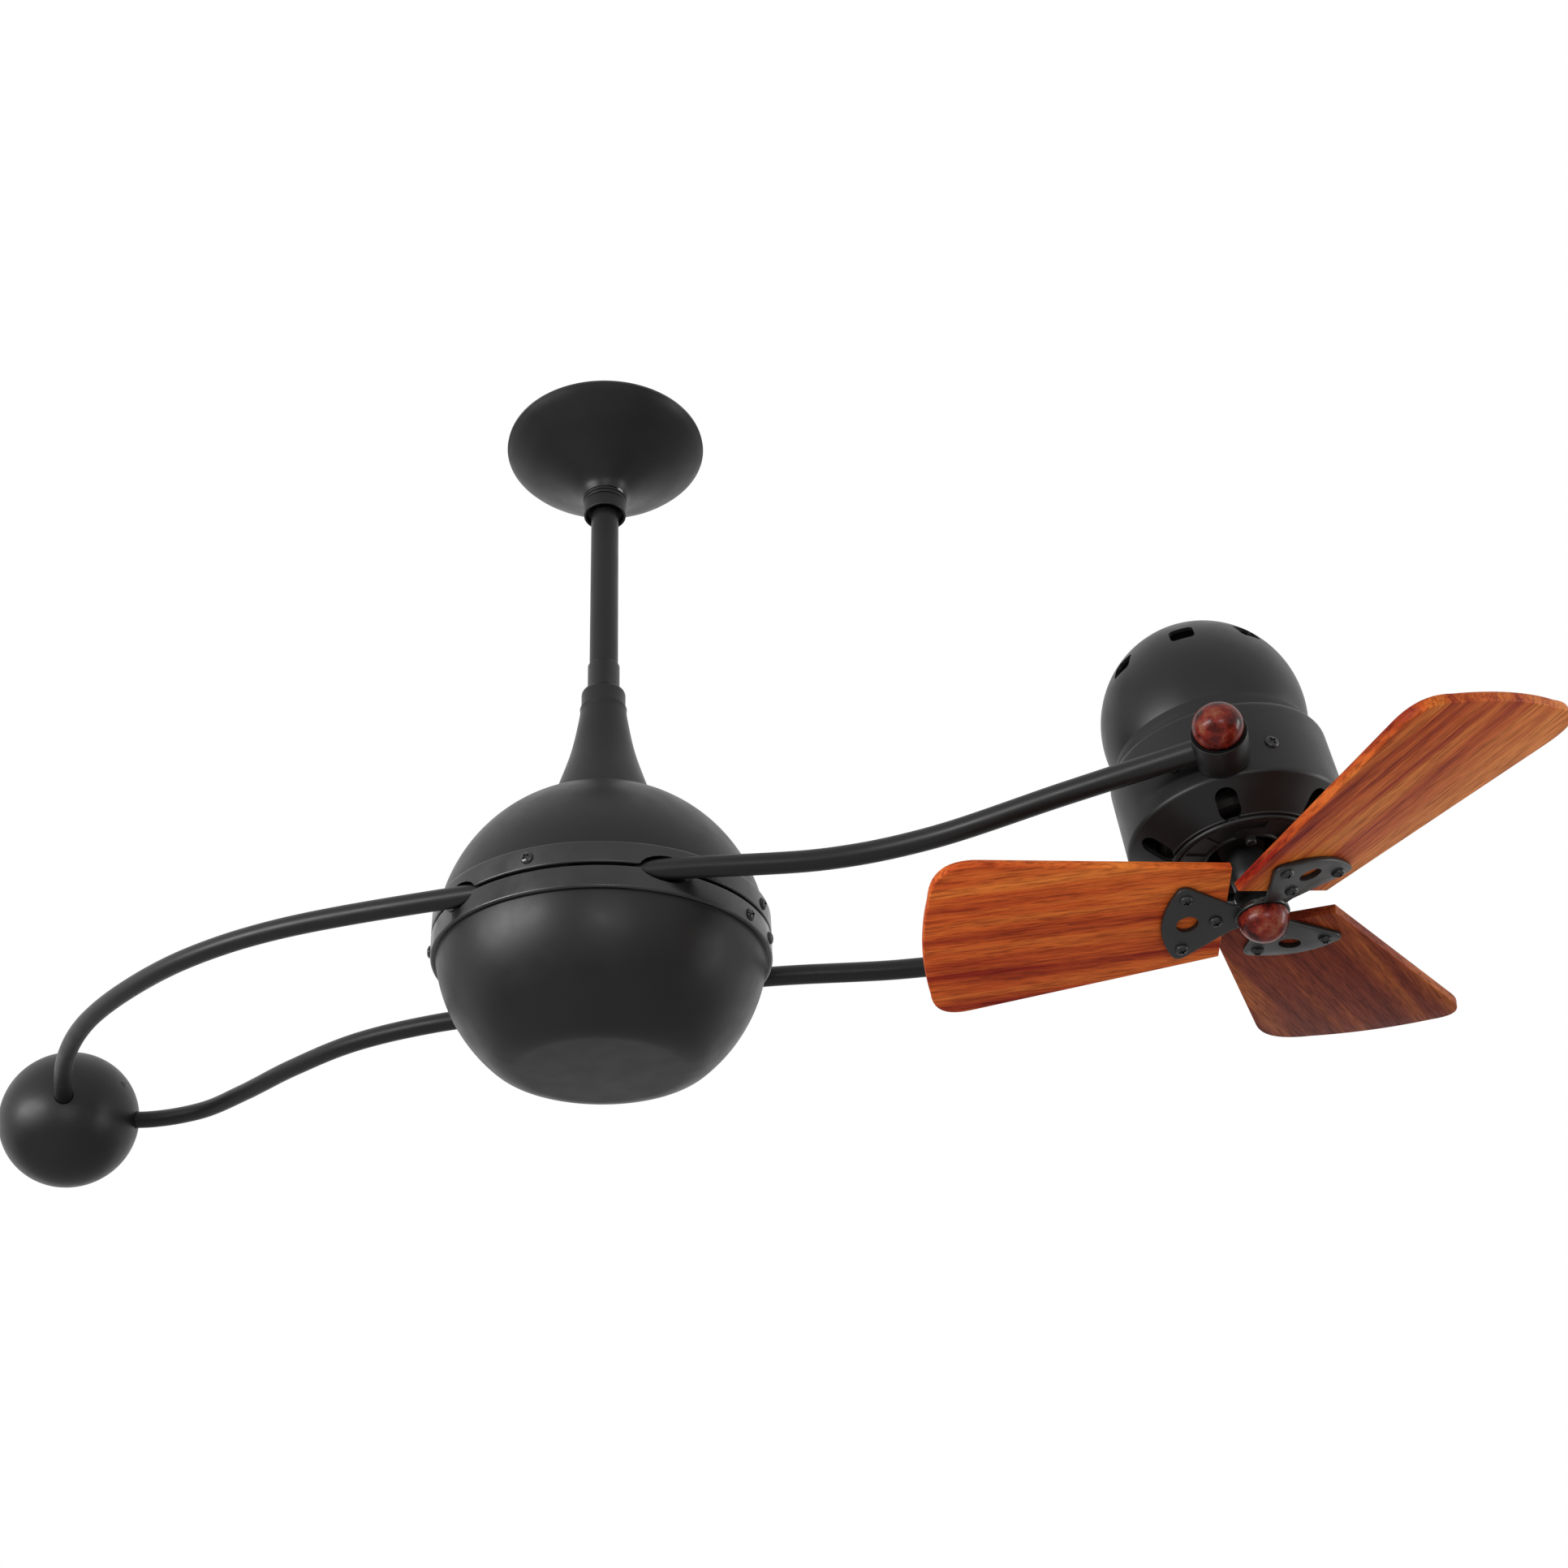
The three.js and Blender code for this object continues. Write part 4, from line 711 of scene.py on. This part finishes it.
dome_slope = math.atan2(VENT_LEVEL - DOME_CENTRE, DOME_RADIUS * 0.86)
vent_start = DOME_RADIUS - VENT_REACH
dome_vents = outward_slots(
    8, -QUARTER, vent_start * math.cos(dome_slope),
    DOME_CENTRE + vent_start * math.sin(dome_slope), dome_slope,
    lambda: rounded_slot(VENT_SIDE, VENT_SIDE, 3, 30),
)
dome_profile = [(DOME_RADIUS - 1.1, STEP + 0.2), (DOME_RADIUS - 0.8, STEP + 4)]
dome_profile += arc(0, DOME_CENTRE, DOME_RADIUS, DOME_RISE, -22, 90, 60)
dome_profile += arc(0, DOME_CENTRE, DOME_RADIUS - DOME_WALL, DOME_RISE - DOME_WALL, 90, -10, 30)
dome_profile += [(DOME_RADIUS - 3.1, STEP + 0.2)]
finished(
    "motor_cap", in_head(cut(turned(dome_profile, 160), dome_vents)), "head",
    "powder_coat", powder_coat, "motor_dome",
)

# ---------------------------------------------------------------- motor drum
# Pressed steel drum that carries the pivot pins, coated. Its conical foot has six long
# vents and ends in a rolled rim round the end plate.
DRUM_RADIUS = 62.8
DRUM_FOOT = -15
RIM_RADIUS = 41.6
RIM = -31
TOP_BEND = 5.5
drum_profile = [
    (56.3, STEP), (58.2, STEP),
    *arc(DRUM_RADIUS - TOP_BEND, STEP - TOP_BEND, TOP_BEND, TOP_BEND, 80, 0, 10),
]
drum_profile += [(DRUM_RADIUS, STEP - 9), (DRUM_RADIUS, DRUM_FOOT + 3.4)]
drum_profile += arc(DRUM_RADIUS - 4, DRUM_FOOT + 3, 4, 4, 0, -50, 8)
drum_profile += arc(RIM_RADIUS + 2.4, RIM + 1.6, 0.9, 0.9, 30, -110, 6)
drum_profile += [(RIM_RADIUS + 1.4, RIM + 1.4)]
drum_profile += arc(RIM_RADIUS, RIM + 0.2, 1.1, 1.3, 0, -180, 10)
drum_profile += [
    (RIM_RADIUS - 0.9, RIM + 2.2), (56.8, DRUM_FOOT + 1.5), (60.6, DRUM_FOOT + 5),
    (60.6, STEP - 11), (58, STEP - 3), (56.3, STEP - 2),
]
cone_slope = math.atan2(DRUM_RADIUS - 3 - RIM_RADIUS, DRUM_FOOT - RIM)
vent_middle = ((DRUM_RADIUS + RIM_RADIUS) / 2 - 2.5, (DRUM_FOOT + RIM) / 2)
FIRST_VENT = -94
base_vents = []
for i in range(6):
    aim = (
        Matrix.Rotation(math.radians(FIRST_VENT + 60 * i), 4, "Z")
        @ Matrix.Translation((vent_middle[0] * MM, 0, vent_middle[1] * MM))
        @ Matrix.Rotation(math.pi - (QUARTER - cone_slope), 4, "Y")
        @ Matrix.Rotation(QUARTER, 4, "Z")
        @ Matrix.Translation((0, 0, -8 * MM))
    )
    base_vents.append(placed(rounded_slot(12, 20, 5.9, 16, 10), aim))
finished(
    "motor_housing_drum", in_head(cut(turned(drum_profile, 160), base_vents)), "head",
    "powder_coat", powder_coat, "motor_drum",
)

# ---------------------------------------------------------------- end plate
# Cast plate inside the rim, painted black, which holds the lower motor bearing. Thin cast
# ribs run between two raised rings, and three studs stand at the edge of its bore.
PLATE = RIM + 2.4
PLATE_BORE = 21
PLATE_RADIUS = 38.6
PLATE_DEPTH = 3
INNER_RING = 22.2
OUTER_RING = 36.8
STUD_AZIMUTH = -78
STUD_RADIUS = 2.9
STUD_TIP = PLATE - 5.8
black_steel = coated("oiled_black_steel", (0.009,) * 3, (0.014,) * 3, 0.44, 0.32, 1400, 0.4)
plate_profile = [
    (PLATE_BORE, PLATE + PLATE_DEPTH), (PLATE_BORE, PLATE - 0.6),
    *arc(INNER_RING, PLATE - 0.6, 1, 0.8, 180, 360, 6),
    (INNER_RING + 1.2, PLATE), (OUTER_RING - 1.2, PLATE),
    *arc(OUTER_RING, PLATE - 0.4, 1, 0.8, 180, 360, 6),
    (PLATE_RADIUS - 0.2, PLATE), (PLATE_RADIUS, PLATE + PLATE_DEPTH),
]
plate = [turned(plate_profile)]
for i in range(12):
    rib = rounded_slot(13.5, 1.3, 0.3, 1.6, 2)
    turn = Matrix.Rotation(math.radians(STUD_AZIMUTH + 15 + 30 * i), 4, "Z")
    plate.append(placed(rib, turn @ Matrix.Translation((29.6 * MM, 0, (PLATE - 1.1) * MM))))
stud_profile = [
    (0, PLATE + 1), (STUD_RADIUS, PLATE + 1), (STUD_RADIUS, STUD_TIP + 0.8),
    *arc(STUD_RADIUS - 0.8, STUD_TIP + 0.8, 0.8, 0.8, 0, -90, 4), (0, STUD_TIP),
]
for i in range(3):
    turn = Matrix.Rotation(math.radians(STUD_AZIMUTH + 120 * i), 4, "Z")
    pad = rounded_slot(8, 17, 2, 2.2, 3)
    plate.append(placed(pad, turn @ Matrix.Translation((26 * MM, 0, (PLATE - 1.6) * MM))))
    stud = turned(stud_profile, 32)
    plate.append(placed(stud, turn @ Matrix.Translation((21.4 * MM, 0, 0))))
finished(
    "ribbed_end_plate", in_head(joined(plate)), "head", "cast_metal",
    black_steel, "bearing_plate",
)

# ---------------------------------------------------------------- shaft sleeve and hub
# Turned steel parts on the motor shaft: a coated sleeve, and the blade hub below it with
# the flange that the three blade irons are bolted to. They turn with the blades.
SHAFT_BORE = 5.3
SLEEVE_RADIUS = 11.2
SLEEVE_FOOT = -52.4
SLEEVE_TOP = PLATE - 1.2
HUB_TOP = -53
HUB_RADIUS = 11.8
HUB_FOOT = -70
FLANGE_RADIUS = 15.3
FLANGE_ROUND = 0.7
sleeve_profile = [
    (SHAFT_BORE, SLEEVE_FOOT), (SLEEVE_RADIUS - 1.4, SLEEVE_FOOT),
    (SLEEVE_RADIUS - 0.9, SLEEVE_FOOT + 0.8), (SLEEVE_RADIUS, SLEEVE_FOOT + 9.4),
    (SLEEVE_RADIUS, SLEEVE_TOP), (SHAFT_BORE, SLEEVE_TOP),
]
finished(
    "shaft_cover_sleeve", in_head(turned(sleeve_profile, 96)), "blades", "powder_coat",
    powder_coat, "shaft_sleeve",
)
black_enamel = coated("black_enamel", (0.006,) * 3, (0.009,) * 3, 0.26, 0.17, 1400, 0.5)
flange_bend = FLANGE_RADIUS - FLANGE_ROUND
hub_profile = [
    (SHAFT_BORE, HUB_FOOT), (flange_bend, HUB_FOOT),
    *arc(flange_bend, HUB_FOOT + FLANGE_ROUND, FLANGE_ROUND, FLANGE_ROUND, -90, 0, 4),
    *arc(flange_bend, HUB_FOOT + 3.3, FLANGE_ROUND, FLANGE_ROUND, 0, 90, 4),
    (HUB_RADIUS + 0.4, HUB_FOOT + 4.2), (HUB_RADIUS, HUB_FOOT + 5),
    (HUB_RADIUS, HUB_TOP - 0.8), (HUB_RADIUS - 0.6, HUB_TOP), (SHAFT_BORE, HUB_TOP),
]
finished(
    "turned_blade_hub", in_head(turned(hub_profile, 96)), "blades", "black_steel",
    black_enamel, "blade_hub",
)
HUB_KNOB_RADIUS = 13.9
HUB_KNOB_AT = -71.8
knob = bmesh.new()
bmesh.ops.create_uvsphere(knob, u_segments=64, v_segments=40, radius=HUB_KNOB_RADIUS * MM)
bmesh.ops.translate(knob, verts=knob.verts, vec=(0, 0, HUB_KNOB_AT * MM))
trimmed = bmesh.ops.bisect_plane(
    knob, geom=list(knob.verts) + list(knob.edges) + list(knob.faces),
    plane_co=(0, 0, (HUB_FOOT - 0.3) * MM), plane_no=(0, 0, 1), clear_outer=True,
)
rim_edges = [g for g in trimmed["geom_cut"] if isinstance(g, bmesh.types.BMEdge)]
bmesh.ops.contextual_create(knob, geom=rim_edges)
finished(
    "hub_wood_knob", in_head(knob), "blades", "polished_burl", polished_burl, "hub_finial",
)

# ---------------------------------------------------------------- blades
# Three mahogany boards, 6 mm thick, wider at the tip, with rounded tip corners and
# eased edges, under a satin lacquer. The grain runs along each blade.
BLADE_PHASE = 72.6
BLADE_PITCH = math.radians(12.6)
BLADE_LEVEL = -62.6
BLADE_HALF = 3


def blade_place(i):
    return (
        HEAD_PLACE
        @ Matrix.Rotation(math.radians(BLADE_PHASE + 120 * i), 4, "Z")
        @ Matrix.Translation((0, 0, BLADE_LEVEL * MM))
        @ Matrix.Rotation(BLADE_PITCH, 4, "X")
    )


def slab(outline, low, high, edge, edge_steps=3):
    """A plate with the given outline in mm between two heights, with its edges eased."""
    bm = bmesh.new()
    rim = [bm.verts.new((x * MM, y * MM, low * MM)) for x, y in outline]
    bm.faces.new(rim)
    push = bmesh.ops.extrude_face_region(bm, geom=list(bm.faces))
    raised = [g for g in push["geom"] if isinstance(g, bmesh.types.BMVert)]
    bmesh.ops.translate(bm, verts=raised, vec=(0, 0, (high - low) * MM))
    bmesh.ops.recalc_face_normals(bm, faces=bm.faces)
    bm.normal_update()
    rims = [e for e in bm.edges if abs(e.verts[0].co.z - e.verts[1].co.z) < 1e-7]
    bmesh.ops.bevel(
        bm, geom=rims, offset=edge * MM, offset_type="OFFSET", segments=edge_steps,
        profile=0.5, affect="EDGES", material=-1, clamp_overlap=True,
    )
    return bm


def bow(a, b, c, steps=10):
    """Points of a bend from a to c that is drawn towards b, without its first point."""
    points = []
    for i in range(1, steps + 1):
        t = i / steps
        points.append(tuple(
            (1 - t) ** 2 * p + 2 * t * (1 - t) * q + t * t * r for p, q, r in zip(a, b, c)
        ))
    return points


def blade_outline():
    root, tip, half_root, lead, trail = 20.5, 186.5, 35.5, 66.5, 60
    lead_corner, trail_corner = 30, 22
    low_share, high_share = ((tip - c - root) / (tip - root) for c in (trail_corner, lead_corner))
    low = (tip - trail_corner, -(half_root + (trail - half_root) * low_share))
    high = (tip - lead_corner, half_root + (lead - half_root) * high_share)
    low_end = (tip + 1, trail_corner - trail)
    high_end = (tip, lead - lead_corner)
    points = [(root, -half_root), low]
    points += bow(low, (tip, -trail), low_end)
    points += bow(low_end, (tip + 7.5, 0), high_end, 16)
    points += bow(high_end, (tip - 2.5, lead), high, 14)
    points += [(root - 2, half_root - 1)]
    return points


def mahogany_board(name, shift, lean, deep, mid, pale):
    """Straight mahogany figure: ribbon streaks along the board with fine dark pores.

    The lean makes one long edge of the board paler than the other.
    """
    material, tree, shader, _ = new_material(name)
    grain = tree.nodes.new("ShaderNodeAttribute")
    grain.attribute_name = "grain"
    board = tree.nodes.new("ShaderNodeMapping")
    board.inputs["Location"].default_value = shift
    board.inputs["Rotation"].default_value = (0, 0, math.radians(4))
    board.inputs["Scale"].default_value = (3.2, 62, 40)
    tree.links.new(grain.outputs["Vector"], board.inputs["Vector"])
    ribbons = noise(tree, board.outputs["Vector"], 1.0, 4, 0.55)
    across = tree.nodes.new("ShaderNodeSeparateXYZ")
    tree.links.new(grain.outputs["Vector"], across.inputs["Vector"])
    leaning = tree.nodes.new("ShaderNodeMath")
    leaning.operation = "MULTIPLY_ADD"
    tree.links.new(across.outputs["Y"], leaning.inputs[0])
    leaning.inputs[1].default_value = lean
    tree.links.new(ribbons, leaning.inputs[2])
    colour = ramp(tree, leaning.outputs[0], [(0.36, deep), (0.47, mid), (0.64, pale)])
    fibres = tree.nodes.new("ShaderNodeMapping")
    fibres.inputs["Scale"].default_value = (60, 760, 500)
    tree.links.new(grain.outputs["Vector"], fibres.inputs["Vector"])
    pores = noise(tree, fibres.outputs["Vector"], 1.0, 3, 0.65)
    shade = ramp(tree, pores, [
        (0.36, (0.5, 0.42, 0.4)), (0.5, (0.95, 0.93, 0.9)), (0.66, (1.2, 1.25, 1.2)),
    ])
    mix = tree.nodes.new("ShaderNodeMix")
    mix.data_type = "RGBA"
    mix.blend_type = "MULTIPLY"
    mix.inputs["Factor"].default_value = 0.85
    tree.links.new(colour, mix.inputs["A"])
    tree.links.new(shade, mix.inputs["B"])
    tree.links.new(mix.outputs["Result"], shader.inputs["Base Color"])
    shader.inputs["Specular IOR Level"].default_value = 0.1
    tree.links.new(spread(tree, pores, 0.58, 0.46), shader.inputs["Roughness"])
    bump(tree, shader, pores, 0.0001, 0.25)
    return material


board_tones = (
    ((4.1, 2.35, 0.5), -1.2, (0.13, 0.015, 0.005), (0.2, 0.032, 0.009), (0.4, 0.105, 0.02)),
    ((0.2, 0.0, 0.0), 0.8, (0.24, 0.015, 0.005), (0.5, 0.08, 0.014), (0.66, 0.17, 0.03)),
    ((1.3, 0.4, 0.2), 1.7, (0.2, 0.01, 0.004), (0.46, 0.085, 0.015), (0.6, 0.18, 0.034)),
)
for i, tones in enumerate(board_tones):
    board = slab(blade_outline(), -BLADE_HALF, BLADE_HALF, 0.9)
    layer = board.verts.layers.float_vector.new("grain")
    for vert in board.verts:
        vert[layer] = vert.co
    finished(
        f"mahogany_blade_{i + 1}", placed(board, blade_place(i)), "blades", "mahogany",
        mahogany_board(f"mahogany_board_{i + 1}", *tones), f"blade_{i + 1}",
    )

# ---------------------------------------------------------------- blade irons
# Stamped steel plates, coated, under the root of each blade: a neck on the hub flange,
# a wide paddle with a round hole, and three screws up into the wood.
IRON_LOW = -6.3
IRON_HIGH = -3.3
IRON_SHIFT = -2
EYE_AT = 41.5
EYE_RADIUS = 6.2


def iron_outline():
    """Outline of an iron in mm: the neck, the widening sides and the bowed outer end."""
    neck, spread_half, shoulder = 9.5, 28.5, 47
    start = (shoulder - 6, spread_half - 1.6)
    side = [(12.6, neck - 0.6), (16.5, neck), start]
    side += bow(start, (shoulder, spread_half + 1.6), (shoulder + 2.6, spread_half - 5), 8)
    outer = bow(side[-1], (62, 0), (shoulder + 2.6, 5 - spread_half), 16)[:-1]
    mirror = [(x, -y) for x, y in reversed(side)]
    return [(x, y + IRON_SHIFT) for x, y in side + outer + mirror]


for i in range(3):
    iron = slab(iron_outline(), IRON_LOW, IRON_HIGH, 0.7)
    eye = bmesh.new()
    bmesh.ops.create_cone(
        eye, cap_ends=True, segments=48, radius1=EYE_RADIUS * MM, radius2=EYE_RADIUS * MM,
        depth=12 * MM,
    )
    bmesh.ops.translate(eye, verts=eye.verts, vec=(EYE_AT * MM, IRON_SHIFT * MM, -5 * MM))
    finished(
        f"stamped_iron_{i + 1}", placed(cut(iron, [eye]), blade_place(i)), "blades",
        "black_steel", black_steel, f"blade_iron_{i + 1}",
    )

# ---------------------------------------------------------------- screws
# Black pan head screws with a cross recess, all of one pattern: three in each blade
# iron, four in the drum, ten in the bands, and a set screw in the counterweight.
IRON_SCREWS = ((43.5, 17.6), (43.5, -21.6), (25.7, -2))


def screw_head(radius, height):
    """A pan head along +Z with its seat at z = 0, and a cross recess."""
    head = turned(
        [(0, -0.5), (radius, -0.5), (radius, height * 0.25)]
        + arc(0, height * 0.25, radius, height * 0.75, 0, 90, 8), 40,
    )
    blades = []
    for turn in (0, QUARTER):
        bar = rounded_slot(radius * 1.15, radius * 0.3, radius * 0.06, height, 1)
        lift = Matrix.Translation((0, 0, height * 0.45 * MM))
        blades.append(placed(bar, Matrix.Rotation(turn + 0.5, 4, "Z") @ lift))
    return cut(head, blades)


for i in range(3):
    heads = []
    for x, y in IRON_SCREWS:
        seat = Matrix.Translation((x * MM, y * MM, IRON_LOW * MM))
        aim = Matrix.Rotation(math.pi, 4, "X")
        heads.append(placed(screw_head(3.7, 2.6), blade_place(i) @ seat @ aim))
    finished(f"iron_screws_{i + 1}", joined(heads), "blades", "black_steel", black_steel)


def radial(azimuth, radius, height):
    """Place of a screw that points outwards from Z at an azimuth in degrees."""
    return (
        Matrix.Rotation(math.radians(azimuth), 4, "Z")
        @ Matrix.Translation((radius * MM, 0, height * MM))
        @ Matrix.Rotation(QUARTER, 4, "Y")
    )


drum_screws = [
    placed(screw_head(4, 2), HEAD_PLACE @ radial(azimuth, DRUM_RADIUS - 0.2, 5.5))
    for azimuth in (-63.7, -114.5, 116.3, 65.5)
]
finished("drum_screws", joined(drum_screws), "head", "black_steel", black_steel)
upper_screws = [(azimuth, 8.5) for azimuth in (-77, 14, 103, 196)]
lower_screws = [(azimuth, -9) for azimuth in (3.5, 22, 96, 142, 184, 220)]
band_screws = [
    placed(
        screw_head(4.3, 2.6),
        Matrix.Translation(BALL_CENTRE) @ radial(azimuth, BAND_RADIUS - 0.3, level),
    )
    for azimuth, level in upper_screws + lower_screws
]
finished("band_screws", joined(band_screws), "arm", "black_steel", black_enamel)
SET_SCREW_AZIMUTH = math.radians(14.8)
SET_SCREW_RISE = math.radians(26)
set_screw = placed(
    screw_head(3.4, 0.8),
    Matrix.Translation(WEIGHT_AT * MM + BALL_CENTRE)
    @ Matrix.Rotation(SET_SCREW_AZIMUTH, 4, "Z")
    @ Matrix.Rotation(QUARTER - SET_SCREW_RISE, 4, "Y")
    @ Matrix.Translation((0, 0, (WEIGHT_RADIUS - 0.2) * MM)),
)
finished("weight_set_screw", set_screw, "arm", "black_steel", black_steel)

# ---------------------------------------------------------------- hidden metal parts
# The solids that show through the vents, the canopy or the rim keep their shape, and
# each gets the finish of its metal. The motor's iron and copper are painted near black instead, as
# painted shade for the dark inside of the vents.


def metal(name, dark, light, gloss, matt, grain):
    material = coated(name, dark, light, matt, gloss, grain)
    material.node_tree.nodes["Principled BSDF"].inputs["Metallic"].default_value = 1.0
    return material


slot_finish = {
    "zinc_steel": metal("zinc_plate", (0.3, 0.31, 0.33), (0.42, 0.43, 0.44), 0.3, 0.5, 700),
    "cast_metal": metal("cast_alloy", (0.18, 0.18, 0.19), (0.28, 0.28, 0.29), 0.5, 0.7, 500),
    "brass_track": metal("brass_strip", (0.42, 0.26, 0.08), (0.55, 0.36, 0.13), 0.25, 0.4, 900),
    "black_resin": coated("moulded_resin", (0.012,) * 3, (0.018,) * 3, 0.6, 0.5, 900),
    "bright_steel": bright_steel,
    "black_steel": black_steel,
    "powder_coat": powder_coat,
}
# Painted shade: a near-black colour in place of the motor's iron and copper, for the shade inside
# the vents.
painted_shade_core = coated("painted_shade_core", (0.008,) * 3, (0.013, 0.011, 0.01), 0.7, 0.5, 800, 0.2)
motor_nodes = (
    "stator_core", "rotor_core", "upper_winding", "lower_winding", "bearing_bridge",
    "upper_motor_bearing", "lower_motor_bearing", "motor_shaft",
)
for name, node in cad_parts.items():
    finish = slot_finish.get(node.data.materials[0].name)
    if name in motor_nodes:
        finish = painted_shade_core
    if finish:
        node.data.materials.clear()
        node.data.materials.append(finish)

# ---------------------------------------------------------------- floor and light
# Pale studio floor below the hanging fan, soft lamps at a plain level and a white room.
floor_bm = bmesh.new()
bmesh.ops.create_grid(floor_bm, x_segments=1, y_segments=1, size=6)
bmesh.ops.translate(floor_bm, verts=floor_bm.verts, vec=(0, 0, -2.4))
floor_finish, floor_tree, floor_shader, floor_place = new_material("pale_floor")
floor_shader.inputs["Roughness"].default_value = 0.7
floor_colour = ramp(
    floor_tree, noise(floor_tree, floor_place, 1.2), [(0.3, (0.78,) * 3), (0.7, (0.82,) * 3)],
)
floor_tree.links.new(floor_colour, floor_shader.inputs["Base Color"])
floor_mesh = bpy.data.meshes.new("studio_floor")
floor_bm.to_mesh(floor_mesh)
floor_bm.free()
floor_mesh.materials.append(floor_finish)
floor = bpy.data.objects.new("studio_floor", floor_mesh)
bpy.context.scene.collection.objects.link(floor)

world = bpy.data.worlds.new("studio_room")
bpy.context.scene.world = world
world.use_nodes = True
room = world.node_tree
room.nodes.clear()
room_out = room.nodes.new("ShaderNodeOutputWorld")
seen = room.nodes.new("ShaderNodeBackground")
seen.inputs["Color"].default_value = (1, 1, 1, 1)
seen.inputs["Strength"].default_value = 1.0
fill = room.nodes.new("ShaderNodeBackground")
fill.inputs["Color"].default_value = (1, 1, 1, 1)
fill.inputs["Strength"].default_value = 0.45
rays = room.nodes.new("ShaderNodeLightPath")
first = room.nodes.new("ShaderNodeMath")
first.operation = "MAXIMUM"
room.links.new(rays.outputs["Is Camera Ray"], first.inputs[0])
room.links.new(rays.outputs["Is Glossy Ray"], first.inputs[1])
second = room.nodes.new("ShaderNodeMath")
second.operation = "MAXIMUM"
room.links.new(first.outputs[0], second.inputs[0])
room.links.new(rays.outputs["Is Transmission Ray"], second.inputs[1])
blend = room.nodes.new("ShaderNodeMixShader")
room.links.new(second.outputs[0], blend.inputs["Fac"])
room.links.new(fill.outputs[0], blend.inputs[1])
room.links.new(seen.outputs[0], blend.inputs[2])
room.links.new(blend.outputs[0], room_out.inputs["Surface"])

RIGHT = Vector((0.80504, 0.59322, 0.00046))
UP = Vector((0.27899, -0.37930, 0.88221))
AHEAD = Vector((-0.52352, 0.71008, 0.47086))


def lamp(name, right, up, back, width, height, power):
    """A soft area lamp in a direction from the ball, given along the camera's axes."""
    light = bpy.data.lights.new(name, "AREA")
    light.shape = "RECTANGLE"
    light.size = width
    light.size_y = height
    light.energy = power
    thing = bpy.data.objects.new(name, light)
    bpy.context.scene.collection.objects.link(thing)
    offset = RIGHT * right + UP * up - AHEAD * back
    thing.location = BALL_CENTRE + offset
    thing.rotation_euler = (-offset).to_track_quat("-Z", "Y").to_euler()


lamp("left_softbox", -2.1, 0.65, 1.1, 1.9, 0.45, 56)
lamp("right_softbox", 2.3, 0.2, 0.5, 0.5, 1.2, 16)
lamp("front_softbox", 0.2, 0.9, 2.6, 0.9, 0.5, 12)

# ---------------------------------------------------------------- camera
# Looks up at the fan from below, from the side of the front tube, as in the photograph.
camera_data = bpy.data.cameras.new("photo_camera")
camera_data.sensor_fit = "HORIZONTAL"
camera_data.sensor_width = 36
camera_data.lens = 39.712
camera_data.shift_x = 0.10122
camera_data.shift_y = 0.06641
camera_data.clip_end = 50
camera = bpy.data.objects.new("photo_camera", camera_data)
bpy.context.scene.collection.objects.link(camera)
axes = Matrix((RIGHT, UP, -AHEAD)).transposed().to_4x4()
camera.matrix_world = Matrix.Translation((0.6394, -0.8402, -0.9597)) @ axes
bpy.context.scene.camera = camera
bpy.context.scene.view_settings.view_transform = "Standard"
